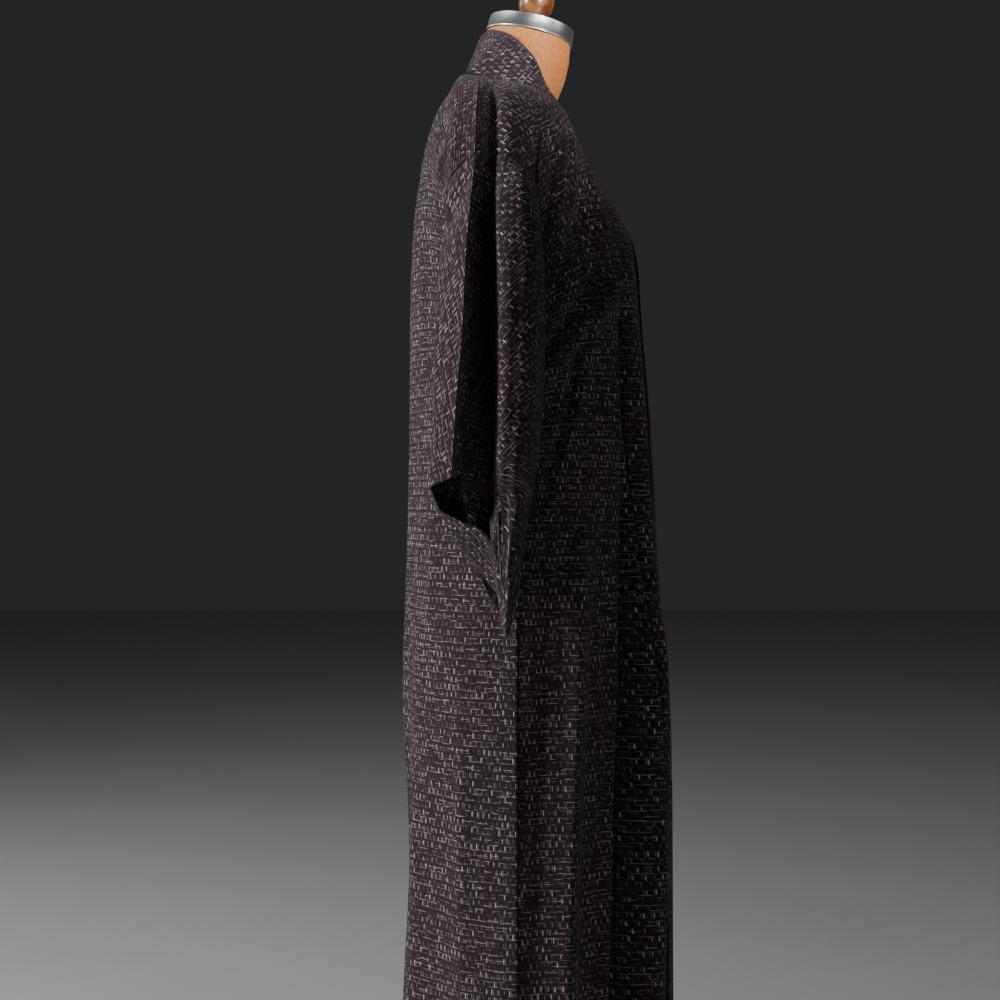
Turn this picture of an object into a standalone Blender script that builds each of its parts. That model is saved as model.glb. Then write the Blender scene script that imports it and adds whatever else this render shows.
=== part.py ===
"""A cotton yukata robe worn open on a limbless dress form.

Metres, +Z up.  The origin is on the floor, at the middle of the stand's base.  The form faces -Y, so its right
side is at -X.  Every cloth piece is a thin wall: the two body panels each run from the back hem over the shoulder
to the front hem, with an overlap panel sewn to each front, a hanging sleeve on each side and one folded collar.
"""

import math

import bmesh
import bpy
from mathutils import Matrix, Vector

# --- Driving sizes -----------------------------------------------------------------------------------------------
CLOTH = 0.0015  # cotton wall
BAND = 0.0026  # collar, folded double
SEAM = 0.0004  # clear space between two pieces that are sewn together
FRONT_WIDTH = 0.24  # front panel, side seam to overlap seam
NECK_ROW = 0.048  # the back neckline's distance behind the shoulder line
ARMHOLE = 0.24  # armhole depth, front and back, along the cloth
COLLAR_END = 1.04  # how far down the front the collar runs
HEM = 1.655
UNDERLAP = 0.0023  # how far in the right front sits, and how far out the left front sits, where they cross
BACK_SPEED = 0.31  # how squarely the back panels leave the centre back seam
FRONT_SPEED = 0.30

CAP_CENTRE = Vector((0.0, 0.0016, 1.705))
CAP_TILT = math.radians(11.5)
CAP_RADIUS = 0.0595
CAP_HEIGHT = 0.021
POLE_RADIUS = 0.016
POLE_TOP = 0.846
BASE_RADIUS = 0.19
BASE_THICKNESS = 0.022
HUB_TOP = 0.060

RIGHT, LEFT = -1, 1


class Table:
    """Rows of named columns; the first column is the key, and the others are read smoothly between its values."""

    def __init__(self, names, *rows):
        self.names = names.split()
        self.keys = [row[0] for row in rows]
        self.columns = {name: [row[i] for row in rows] for i, name in enumerate(self.names)}

    def slopes(self, values):
        steps = [b - a for a, b in zip(self.keys, self.keys[1:])]
        rises = [(b - a) / step for a, b, step in zip(values, values[1:], steps)]
        middle = [0.0 if a * b <= 0 else 2 * a * b / (a + b) for a, b in zip(rises, rises[1:])]
        return [rises[0], *middle, rises[-1]]

    def at(self, key, name):
        values = self.columns[name]
        key = min(max(key, self.keys[0]), self.keys[-1])
        i = max(k for k in range(len(self.keys) - 1) if k == 0 or self.keys[k] <= key)
        step = self.keys[i + 1] - self.keys[i]
        slopes = self.slopes(values)
        return hermite((key - self.keys[i]) / step, values[i], slopes[i] * step,
                       values[i + 1], slopes[i + 1] * step)

    def row(self, key):
        return {name: self.at(key, name) for name in self.names}


def hermite(u, start, start_slope, end, end_slope):
    return (start * (2 * u**3 - 3 * u**2 + 1) + start_slope * (u**3 - 2 * u**2 + u)
            + end * (3 * u**2 - 2 * u**3) + end_slope * (u**3 - u**2))


def smoothstep(low, high, value):
    u = min(max((value - low) / (high - low), 0.0), 1.0)
    return u * u * (3 - 2 * u)


# --- The robe's sections -----------------------------------------------------------------------------------------
# "down" is measured along the cloth from the shoulder line.  Centre back: height, how far behind the form's axis,
# and how far the neckline is raised.
BACK_LINE = Table("down z y lift",
                  (0.000, 1.630, 0.047, 0.000),
                  (0.048, 1.630, 0.088, 0.025),
                  (0.098, 1.608, 0.1080, 0.005),
                  (0.138, 1.578, 0.124, 0.000),
                  (0.195, 1.526, 0.145, 0.000),
                  (0.278, 1.446, 0.157, 0.000),
                  (0.374, 1.350, 0.161, 0.000),
                  (0.644, 1.080, 0.164, 0.000),
                  (0.914, 0.810, 0.170, 0.000),
                  (1.124, 0.600, 0.163, 0.000),
                  (1.324, 0.400, 0.172, 0.000),
                  (1.655, 0.070, 0.180, 0.000))
# Centre front, as a line that crosses the open neck.
FRONT_LINE = Table("down z y",
                   (0.000, 1.630, 0.047),
                   (0.050, 1.621, 0.001),
                   (0.100, 1.598, -0.041),
                   (0.160, 1.549, -0.066),
                   (0.210, 1.505, -0.091),
                   (0.260, 1.463, -0.119),
                   (0.300, 1.430, -0.137),
                   (0.340, 1.392, -0.144),
                   (0.410, 1.324, -0.149),
                   (0.545, 1.188, -0.162),
                   (0.790, 0.944, -0.175),
                   (0.860, 0.876, -0.184),
                   (1.000, 0.741, -0.190),
                   (1.330, 0.400, -0.192),
                   (1.655, 0.070, -0.195))
# The panels' outer edges: the armhole down to 0.24, and the side seam below it.  "lean" says how far the panel
# still moves outwards as it reaches the seam, "turn_back" and "turn_front" how fast it runs forwards there.
SIDE_LINE = Table("down x z y_back y_front lean turn_back turn_front",
                  (0.00, 0.232, 1.505, 0.048, 0.048, 0.05, 0.00, 0.00),
                  (0.04, 0.233, 1.493, 0.085, 0.010, 0.05, 0.02, -0.03),
                  (0.08, 0.233, 1.459, 0.104, -0.005, 0.04, 0.00, -0.06),
                  (0.12, 0.232, 1.420, 0.104, -0.008, 0.03, -0.08, -0.10),
                  (0.18, 0.228, 1.366, 0.078, 0.004, 0.03, -0.18, -0.20),
                  (0.24, 0.220, 1.318, 0.030, 0.030, 0.04, -0.26, -0.28),
                  (0.41, 0.218, 1.180, 0.021, 0.021, 0.06, -0.29, -0.28),
                  (0.68, 0.222, 0.940, 0.019, 0.019, 0.07, -0.30, -0.29),
                  (1.00, 0.228, 0.650, 0.019, 0.019, 0.07, -0.30, -0.29),
                  (1.33, 0.233, 0.350, 0.018, 0.018, 0.07, -0.30, -0.29),
                  (1.655, 0.238, 0.055, 0.016, 0.016, 0.07, -0.30, -0.29))
# How far each collar edge stays from the centre front: its seam and its free edge.
# Below zero it has crossed over.
COLLAR_LINE = Table("down seam_x free_x",
                    (0.00, 0.085, 0.0580),
                    (0.05, 0.100, 0.0585),
                    (0.10, 0.102, 0.0490),
                    (0.16, 0.095, 0.0415),
                    (0.21, 0.083, 0.0290),
                    (0.26, 0.069, 0.0150),
                    (0.30, 0.055, 0.0010),
                    (0.36, 0.035, -0.0200),
                    (0.46, 0.015, -0.0400),
                    (0.60, 0.005, -0.0500),
                    (1.00, 0.000, -0.0550),
                    (1.655, -0.005, -0.0600))
# The standing part of the collar: its free edge round the neck, by distance from the nape along the seam.
NECK_EDGE = Table("along x y z",
                  (0.000, 0.0000, 0.0650, 1.712),
                  (0.045, 0.0400, 0.0530, 1.708),
                  (0.095, 0.0600, 0.0290, 1.697),
                  (0.140, 0.0650, 0.0050, 1.676),
                  (0.200, 0.0560, -0.0300, 1.631))

# Large folds.  "out" is positive for a ridge and negative for a trough; a fold runs between two distances down,
# at a distance from the side seam that changes from its top to its foot.
FOLD_NAMES = "top foot seam_top seam_foot width_top width_foot out"
BACK_FOLDS = [dict(zip(FOLD_NAMES.split(), fold)) for fold in (
    (0.42, 1.70, 0.255, 0.262, 0.022, 0.026, -0.007),
    (0.95, 1.70, 0.205, 0.185, 0.024, 0.036, 0.010),
    (0.90, 1.70, 0.130, 0.120, 0.026, 0.034, -0.006),
    (0.12, 0.34, 0.150, 0.085, 0.022, 0.030, -0.005),
)]
FRONT_FOLDS = [dict(zip(FOLD_NAMES.split(), fold)) for fold in (
    (0.30, 1.70, 0.254, 0.134, 0.017, 0.020, -0.020),
    (0.34, 1.70, 0.300, 0.172, 0.018, 0.024, 0.009),
    (0.60, 1.75, 0.118, 0.024, 0.024, 0.024, 0.009),
    (0.55, 1.75, 0.168, 0.078, 0.026, 0.026, -0.007),
    (0.10, 0.36, 0.140, 0.205, 0.016, 0.022, -0.007),
    (0.16, 0.42, 0.090, 0.150, 0.020, 0.026, 0.006),
)]

# Folds over the end of the shoulder: how far in front of the shoulder line they lie at the armhole and at their
# tip, how far they reach in from the armhole, and how deep they are.
SHOULDER_FOLDS = [dict(zip("edge tip reach width out".split(), fold)) for fold in (
    (-0.022, -0.020, 0.150, 0.0090, 0.010),
    (-0.005, -0.007, 0.150, 0.0085, -0.022),
    (0.014, 0.010, 0.140, 0.0120, 0.009),
    (0.066, 0.058, 0.130, 0.0060, -0.008),
)]

# The hanging sleeve, top to bottom.  "z" is the height of its outer face, "z_seam" of its inner seam; the others
# give where the tuck in its inner face, the back edge, the sharp back ridge, the deep groove, the front strip's
# near edge, the front ridge and the front edge lie.
SLEEVE_NAMES = ("step z z_seam tuck_y tuck_out back_y ridge_y ridge_out groove_y groove_out lap_y lap_out crest_y "
                "crest_out front_y wall_out")
SLEEVE = Table(SLEEVE_NAMES,
               (0.00, 1.492, 1.318, 0.070, 0.234, 0.106, 0.078, 0.234, 0.052, 0.234, 0.036,
                0.234, 0.016, 0.234, -0.008, 0.234),
               (0.06, 1.468, 1.300, 0.078, 0.242, 0.110, 0.074, 0.258, 0.051, 0.232, 0.041,
                0.250, 0.010, 0.256, -0.010, 0.236),
               (0.12, 1.438, 1.280, 0.082, 0.254, 0.114, 0.077, 0.275, 0.051, 0.238, 0.042,
                0.264, 0.006, 0.270, -0.011, 0.238),
               (0.22, 1.370, 1.240, 0.082, 0.272, 0.117, 0.082, 0.299, 0.050, 0.243, 0.041,
                0.290, 0.003, 0.294, -0.012, 0.239),
               (0.36, 1.280, 1.190, 0.082, 0.284, 0.120, 0.086, 0.314, 0.051, 0.243, 0.040,
                0.303, 0.003, 0.305, -0.012, 0.239),
               (0.50, 1.195, 1.140, 0.082, 0.284, 0.122, 0.094, 0.317, 0.052, 0.244, 0.040,
                0.307, 0.006, 0.309, -0.008, 0.240),
               (0.62, 1.130, 1.095, 0.080, 0.272, 0.125, 0.098, 0.313, 0.053, 0.245, 0.042,
                0.305, 0.011, 0.308, -0.002, 0.241),
               (0.72, 1.070, 1.060, 0.076, 0.256, 0.116, 0.086, 0.280, 0.052, 0.284, 0.038,
                0.296, 0.018, 0.302, 0.005, 0.242),
               (0.82, 1.020, 1.020, 0.070, 0.250, 0.100, 0.076, 0.266, 0.048, 0.277, 0.037,
                0.287, 0.025, 0.293, 0.013, 0.243),
               (0.91, 0.985, 0.985, 0.062, 0.245, 0.084, 0.066, 0.257, 0.045, 0.268, 0.036,
                0.274, 0.028, 0.279, 0.017, 0.243),
               (1.00, 0.950, 0.950, 0.052, 0.244, 0.062, 0.053, 0.250, 0.042, 0.252, 0.035,
                0.254, 0.028, 0.253, 0.019, 0.243))
# How far in front of the shoulder line the sleeve's top edge lies, by share of the way round from the inner seam.
TOP_EDGE = Table("around across",
                 (0.000, -0.240),
                 (0.140, -0.165),
                 (0.318, -0.080),
                 (0.455, -0.022),
                 (0.591, -0.004),
                 (0.682, 0.014),
                 (0.773, 0.040),
                 (0.909, 0.130),
                 (1.000, 0.240))
MOUTH_STEP = 0.62  # the wrist opening's upper lip is on this row, between the back edge and the groove
# The wrist opening's lips, by share of the way from the back edge to the groove.
LIPS = Table("share upper lower",
             (0.00, 1.092, 1.086),
             (0.45, 1.105, 1.068),
             (0.75, 1.112, 1.060),
             (1.00, 1.092, 1.046))
# The sleeve's bottom edge, by share of the way round from the inner seam past the back.
BOTTOM_EDGE = Table("share z",
                    (0.00, 0.940),
                    (0.14, 0.958),
                    (0.30, 0.990),
                    (0.45, 0.976),
                    (0.56, 0.966),
                    (0.61, 0.944),
                    (0.70, 0.911),
                    (0.82, 0.935),
                    (1.00, 0.940))

# The dress form, hips to neck: half width, front and back, and how square the section is.
FORM = Table("z half_width front back square",
             (0.846, 0.120, -0.080, 0.085, 2.1),
             (0.862, 0.150, -0.102, 0.112, 2.1),
             (0.910, 0.168, -0.112, 0.128, 2.1),
             (0.990, 0.170, -0.112, 0.132, 2.1),
             (1.080, 0.148, -0.100, 0.112, 2.1),
             (1.180, 0.120, -0.086, 0.090, 2.1),
             (1.270, 0.132, -0.100, 0.105, 2.2),
             (1.350, 0.152, -0.126, 0.125, 2.3),
             (1.420, 0.160, -0.118, 0.138, 2.4),
             (1.480, 0.172, -0.090, 0.137, 2.4),
             (1.530, 0.182, -0.066, 0.124, 2.3),
             (1.565, 0.176, -0.050, 0.104, 2.2),
             (1.585, 0.150, -0.038, 0.092, 2.0),
             (1.600, 0.108, -0.034, 0.082, 2.0),
             (1.615, 0.068, -0.035, 0.072, 2.0),
             (1.645, 0.057, -0.0460, 0.064, 2.0),
             (1.672, 0.054, -0.0525, 0.058, 2.0))


# --- Body panels -------------------------------------------------------------------------------------------------
ROW_SAMPLES = 48
row_cache = {}


def bare_row(face, down):
    """The panel's unfolded section at one distance down: points from the side edge past the centre, with x
    positive on the panel's own side, and the length along the cloth at each."""
    key = (face, down)
    if key in row_cache:
        return row_cache[key]
    side = SIDE_LINE.row(down)
    if face == "back":
        centre = BACK_LINE.row(down)
        speed, turn, edge_y = BACK_SPEED, side["turn_back"], side["y_back"]
    else:
        centre = FRONT_LINE.row(down)
        centre["lift"] = 0.0
        speed, turn, edge_y = FRONT_SPEED, side["turn_front"], side["y_front"]
        turn = -turn
    points = []
    for i in range(ROW_SAMPLES + 1):
        u = i / ROW_SAMPLES
        x = hermite(u, side["x"], -side["lean"], 0.0, -speed)
        y = hermite(u, edge_y, -turn, centre["y"], 0.0)
        z = centre["z"] + (side["z"] - centre["z"]) * (1 - u) ** 3 + centre["lift"] * u**3
        points.append(Vector((x, y, z)))
    past = [Vector((-p.x, p.y, p.z)) for p in reversed(points[:-1])]
    points += past[: ROW_SAMPLES // 2]
    lengths = [0.0]
    for a, b in zip(points, points[1:]):
        lengths.append(lengths[-1] + (b - a).length)
    row_cache[key] = points, lengths
    return row_cache[key]


def to_centre(face, down):
    return bare_row(face, down)[1][ROW_SAMPLES]


def on_row(face, down, length):
    """The point, the outward direction in plan and the one off the shoulder's slope, at a length from the side
    edge."""
    points, lengths = bare_row(face, down)
    i = max(k for k in range(len(points) - 1) if k == 0 or lengths[k] <= length)
    share = (length - lengths[i]) / (lengths[i + 1] - lengths[i])
    along = points[i + 1] - points[i]
    flat = Vector((along.x, along.y))
    out = Vector((flat.y, -flat.x)).normalized() if face == "front" else Vector((-flat.y, flat.x)).normalized()
    if out.dot(Vector((points[i].x, points[i].y))) < 0:
        out = -out
    return points[i] + along * share, out, Vector((along.z, 0.0, -along.x)).normalized()


def length_at_x(face, down, x):
    """The length along the row at which it is x from the centre, x below zero being past it."""
    points, lengths = bare_row(face, down)
    for i in range(len(points) - 1):
        if points[i + 1].x <= x < points[i].x:
            share = (points[i].x - x) / (points[i].x - points[i + 1].x)
            return lengths[i] + share * (lengths[i + 1] - lengths[i])
    return lengths[-1]


def fold_depth(folds, down, from_seam):
    total = 0.0
    for fold in folds:
        share = (down - fold["top"]) / (fold["foot"] - fold["top"])
        if not 0 < share < 1:
            continue
        place = fold["seam_top"] + (fold["seam_foot"] - fold["seam_top"]) * share
        width = fold["width_top"] + (fold["width_foot"] - fold["width_top"]) * share
        ends = smoothstep(0, 0.16, down - fold["top"]) * smoothstep(0, 0.10, fold["foot"] - down)
        total += fold["out"] * ends * math.exp(-(((from_seam - place) / width) ** 2))
    return total


def shoulder_depth(across, length):
    """The sleeve's ridges and groove, carried up over the shoulder; across is in front of the shoulder line."""
    total = 0.0
    for fold in SHOULDER_FOLDS:
        share = length / fold["reach"]
        if share < 1:
            place = fold["edge"] + (fold["tip"] - fold["edge"]) * share
            nearness = math.exp(-(((across - place) / fold["width"]) ** 2))
            total += fold["out"] * smoothstep(1.0, 0.45, share) * nearness
    return total


def panel_point(side, face, down, length, extra=0.0):
    """A point of the robe's body at a distance down and a length from its side edge, folds included."""
    point, out, off = on_row(face, down, length)
    point = point + off * shoulder_depth(down if face == "front" else -down, length)
    if face == "back":
        calm = smoothstep(0.0, 0.03, point.x)
        shift = fold_depth(BACK_FOLDS, down, length) * calm
    else:
        calm = smoothstep(0.055, 0.095, point.x)
        shift = fold_depth(FRONT_FOLDS, down, length) * calm
        crossing = 1 - smoothstep(0.045, 0.105, point.x)
        shift += side * UNDERLAP * crossing * smoothstep(0.10, 0.24, down)
    shift += extra
    return Vector((side * (point.x + out.x * shift), point.y + out.y * shift, point.z))


def collar_seam(down):
    return length_at_x("front", down, COLLAR_LINE.at(down, "seam_x"))


def collar_free(down):
    return length_at_x("front", down, COLLAR_LINE.at(down, "free_x"))


def front_edge(down):
    """Where the front panel ends: at the collar seam, and below its tip at the overlap panel's seam."""
    return min(collar_seam(down), FRONT_WIDTH)


def neck_share():
    """The neck point's place on the shoulder line, as a share of the way from the side edge to the centre."""
    return collar_seam(0.0) / to_centre("front", 0.0)


# --- Mesh helpers ------------------------------------------------------------------------------------------------
def material(name, colour, roughness, metallic=0.0):
    made = bpy.data.materials.new(name)
    made.use_nodes = True
    shader = made.node_tree.nodes["Principled BSDF"]
    shader.inputs["Base Color"].default_value = (*colour, 1.0)
    shader.inputs["Roughness"].default_value = roughness
    shader.inputs["Metallic"].default_value = metallic
    made.diffuse_color = (*colour, 1.0)
    return made


def add_object(name, mesh, look, group, smooth_angle=50):
    made = bpy.data.objects.new(name, mesh)
    group.objects.link(made)
    mesh.materials.append(look)
    mesh.shade_smooth()
    mesh.set_sharp_from_angle(angle=math.radians(smooth_angle))
    return made


def cloth_sheet(name, points, faces, look, group, wall=CLOTH):
    """A cloth piece from a dictionary of points and the faces between them, given its wall by Solidify."""
    made = bmesh.new()
    used = {key for face in faces for key in face}
    verts = {key: made.verts.new(points[key]) for key in points if key in used}
    for face in faces:
        made.faces.new([verts[key] for key in face])
    bmesh.ops.recalc_face_normals(made, faces=made.faces)
    mesh = bpy.data.meshes.new(name)
    made.to_mesh(mesh)
    made.free()
    piece = add_object(name, mesh, look, group)
    wall_maker = piece.modifiers.new("Cloth wall", "SOLIDIFY")
    wall_maker.thickness = wall
    wall_maker.offset = 0.0
    wall_maker.use_even_offset = True
    return piece


def grid_faces(columns, rows, skip=lambda column, row: False):
    return [((i, j), (i + 1, j), (i + 1, j + 1), (i, j + 1))
            for j in range(rows) for i in range(columns) if not skip(i, j)]


def turned(name, profile, look, group, segments=40):
    """A turned piece: a profile of (radius, height) from its top to its bottom, spun round the Z axis."""
    made = bmesh.new()
    rings = [made.verts.new((radius, 0, height)) for radius, height in profile]
    for a, b in zip(rings, rings[1:]):
        made.edges.new((a, b))
    mesh = bpy.data.meshes.new(name)
    made.to_mesh(mesh)
    made.free()
    piece = add_object(name, mesh, look, group)
    spin = piece.modifiers.new("Turned", "SCREW")
    spin.steps = segments
    spin.render_steps = segments
    spin.use_merge_vertices = True
    spin.merge_threshold = 0.0001
    return piece


# --- Cloth pieces ------------------------------------------------------------------------------------------------
ROWS = (0.0, 0.006, 0.013, 0.021, 0.032, NECK_ROW, 0.066, 0.09, 0.115, 0.145, 0.19, ARMHOLE, 0.31, 0.39, 0.47,
        0.53, 0.61, 0.72, 0.84, COLLAR_END, 1.19, 1.34, 1.50, HEM)
NECK_COLUMNS = 3
FRONT_COLUMNS = 11
NEAR_SEAM = 0.004  # the column beside a seam, so that both sides of it face the same way


def overlap_tip():
    """How far down the collar's seam meets the overlap panel's seam."""
    low, high = 0.10, 0.40
    for _ in range(30):
        middle = (low + high) / 2
        low, high = (middle, high) if collar_seam(middle) < FRONT_WIDTH else (low, middle)
    return high


def panel_rows():
    tip = overlap_tip()
    return sorted([down for down in ROWS if abs(down - tip) > 0.012 or down == ARMHOLE] + [tip])


def body_panel(side, name, look, group):
    """Back hem, over the shoulder, to the front hem in one length of cloth, slit at the side seam."""
    share = neck_share()
    rows = panel_rows()
    points = {}
    for row, down in enumerate(rows):
        back_total = to_centre("back", down)
        middle = SEAM / 2
        for column in range(FRONT_COLUMNS + NECK_COLUMNS + 1):
            if column <= FRONT_COLUMNS:
                part = share * column / FRONT_COLUMNS
            else:
                part = share + (1 - share) * (column - FRONT_COLUMNS) / NECK_COLUMNS
            start = middle if down >= ARMHOLE else 0.0
            length = start + (back_total - middle - start) * part
            points["back", column, row] = panel_point(side, "back", down, length)
        for column in range(FRONT_COLUMNS + 1):
            start = middle if down >= ARMHOLE else 0.0
            end = front_edge(down) - middle
            length = end
            if column < FRONT_COLUMNS:
                length = start + (end - NEAR_SEAM - start) * column / (FRONT_COLUMNS - 1)
            points["front", column, row] = panel_point(side, "front", down, length)
    for column in range(FRONT_COLUMNS + 1):
        points["front", column, 0] = points["back", column, 0]
    faces = []
    for row in range(len(rows) - 1):
        for column in range(FRONT_COLUMNS + NECK_COLUMNS):
            if column < FRONT_COLUMNS or rows[row] >= NECK_ROW:
                faces.append([("back", column + i, row + j) for i, j in ((0, 0), (1, 0), (1, 1), (0, 1))])
        for column in range(FRONT_COLUMNS):
            corners = [("front", column + i, row + j) for i, j in ((0, 0), (1, 0), (1, 1), (0, 1))]
            faces.append([("back", c, 0) if r == 0 else (f, c, r) for f, c, r in corners])
    return cloth_sheet(name, points, faces, look, group)


def overlap_panel(side, name, look, group):
    """The narrow panel sewn to the front edge: pointed at the top, where the collar seam meets its seam, and out
    to the garment's free edge below the collar's end."""
    tip = overlap_tip()
    rows = [(tip + 0.012, False)]
    rows += [(down, False) for down in panel_rows() if tip + 0.012 < down <= COLLAR_END]
    rows += [(COLLAR_END + 2 * SEAM, True)]
    rows += [(down, True) for down in ROWS if down > COLLAR_END]
    columns = 4
    points = {}
    for row, (down, below_collar) in enumerate(rows):
        start = FRONT_WIDTH + SEAM / 2
        end = collar_free(down) if below_collar else collar_seam(down) - SEAM / 2
        near = min(NEAR_SEAM, (end - start) / columns)
        for column in range(columns + 1):
            length = start
            if column:
                length = start + near + (end - start - near) * (column - 1) / (columns - 1)
            points[column, row] = panel_point(side, "front", down, length)
    return cloth_sheet(name, points, grid_faces(columns, len(rows) - 1), look, group)


def collar_stations(side):
    """Pairs of points, the seam's and the free edge's, from the nape down to the collar's end on one side."""
    seam_points = []
    share = neck_share()
    steps = 5
    total = to_centre("back", NECK_ROW)
    for i in range(steps + 1):
        part = 1 - (1 - share) * i / steps
        seam_points.append((panel_point(side, "back", NECK_ROW, total * part), None))
    seam_points.append((panel_point(side, "back", NECK_ROW / 2, to_centre("back", NECK_ROW / 2) * share), None))
    downs = [0.0, 0.03, 0.06, 0.09, 0.12, 0.15, 0.18, 0.21, 0.24, 0.27, 0.30, 0.33, 0.37, 0.42]
    downs += [0.47, 0.53, 0.61, 0.72, 0.84, COLLAR_END - 2 * SEAM]
    seam_points += [(panel_point(side, "front", down, collar_seam(down)), down) for down in downs]
    stations = []
    along = 0.0
    for i, (seam, down) in enumerate(seam_points):
        if i:
            along += (seam - seam_points[i - 1][0]).length
        neck = NECK_EDGE.row(along)
        standing = Vector((side * neck["x"], neck["y"], neck["z"]))
        lying = standing
        if down is not None:
            lying = panel_point(side, "front", down, collar_free(down))
        laid = smoothstep(0.02, 0.13, down) if down is not None else 0.0
        stations.append((seam, standing.lerp(lying, laid)))
    return stations


def collar(name, look, group):
    """One folded band from the left front's end, round the neck, to the right front's end."""
    stations = list(reversed(collar_stations(LEFT))) + collar_stations(RIGHT)[1:]
    columns = 3
    points = {}
    for row, (seam, free) in enumerate(stations):
        across = free - seam
        start = 0.0016 / across.length
        for column in range(columns + 1):
            part = start + (1 - start) * column / columns
            points[column, row] = seam + across * part
    return cloth_sheet(name, points, grid_faces(columns, len(stations) - 1), look, group, BAND)


# Columns between the seam, tuck, heel, back edge, ridge, groove, lap, crest, front edge and seam.
SLEEVE_COLUMNS = (3, 2, 2, 3, 3, 2, 2, 3, 2)


BACK_EDGE, BACK_RIDGE, GROOVE = 3, 4, 5  # their places among the section's stations


def sleeve_section(step):
    """The section's ten stations, as (x outwards, y, z)."""
    at = SLEEVE.row(step)
    seam_y = 0.030 + 0.012 * step
    drop = at["z"] - at["z_seam"]
    back_z = at["z"] - 0.45 * drop
    heel = at["ridge_out"] - at["wall_out"]
    return [Vector((at["wall_out"], seam_y, at["z_seam"])),
            Vector((at["tuck_out"], at["tuck_y"], at["z_seam"] + 0.2 * drop)),
            Vector((at["wall_out"] + 0.003, at["back_y"] - 0.45 * heel, (back_z + at["z_seam"]) / 2)),
            Vector((at["wall_out"] + 0.003 + 0.5 * heel, at["back_y"], back_z)),
            Vector((at["ridge_out"], at["ridge_y"], at["z"])),
            Vector((at["groove_out"], at["groove_y"], at["z"])),
            Vector((at["lap_out"], at["lap_y"], at["z"])),
            Vector((at["crest_out"], at["crest_y"], at["z"])),
            Vector((at["wall_out"] + 0.003, at["front_y"], back_z)),
            Vector((at["wall_out"], seam_y, at["z_seam"]))]


def sleeve_row(step):
    """The section as a smooth line through its stations, creased at the back ridge."""
    stations = sleeve_section(step)
    tangents = [stations[1] - stations[0]]
    tangents += [(b - a) / 2 for a, b in zip(stations, stations[2:])]
    tangents += [stations[-1] - stations[-2]]
    points = []
    for i, count in enumerate(SLEEVE_COLUMNS):
        a, b = stations[i], stations[i + 1]
        leave, arrive = tangents[i], tangents[i + 1]
        if i == BACK_RIDGE - 1:
            arrive = b - a
        if i == BACK_RIDGE:
            leave = b - a
        for k in range(count + (i == len(SLEEVE_COLUMNS) - 1)):
            points.append(hermite(k / count, a, leave, b, arrive))
    return points


def armhole_point(side, around):
    """A point just outside the armhole's edge, by share of the way round from its foot up the back."""
    across = TOP_EDGE.at(around, "across")
    edge = panel_point(side, "back" if across < 0 else "front", abs(across), 0.0)
    return Vector((abs(edge.x) + CLOTH + 3 * SEAM, edge.y, edge.z))


def sleeve(side, name, look, group):
    """A two-layer bag sewn to the armhole, hanging by its own weight, with the wrist opening in its back."""
    steps = [0.0, 0.05, 0.10, 0.16, 0.22, 0.29, 0.36, 0.43, 0.50, 0.56, MOUTH_STEP, 0.72, 0.77, 0.82, 0.87, 0.91,
             0.96, 1.0]
    total = sum(SLEEVE_COLUMNS)
    first = sum(SLEEVE_COLUMNS[:BACK_EDGE])
    groove = sum(SLEEVE_COLUMNS[:GROOVE])
    upper = steps.index(MOUTH_STEP)
    mouth_row = sleeve_row(MOUTH_STEP)
    points = {}
    for row, step in enumerate(steps):
        for column, point in enumerate(sleeve_row(step)):
            around = column / total
            if step == 0.0:
                point = armhole_point(side, around)
            if step > MOUTH_STEP:
                foot = (step - MOUTH_STEP) / (1 - MOUTH_STEP)
                low = BOTTOM_EDGE.at(around, "z")
                high = mouth_row[column].z
                if first <= column <= groove:
                    high = LIPS.at((column - first) / (groove - first), "lower")
                    foot -= 0.16 * (1 - foot)
                point.z = high + (low - high) * foot
            if step == MOUTH_STEP and first <= column <= groove:
                point.z = LIPS.at((column - first) / (groove - first), "upper")
            shift = SEAM if column == 0 else -SEAM if column == total else 0.0
            points[column, row] = Vector((side * point.x, point.y + shift, point.z))

    def in_mouth(column, row):
        return row == upper and first <= column < groove

    return cloth_sheet(name, points, grid_faces(total, len(steps) - 1, in_mouth), look, group)


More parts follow.
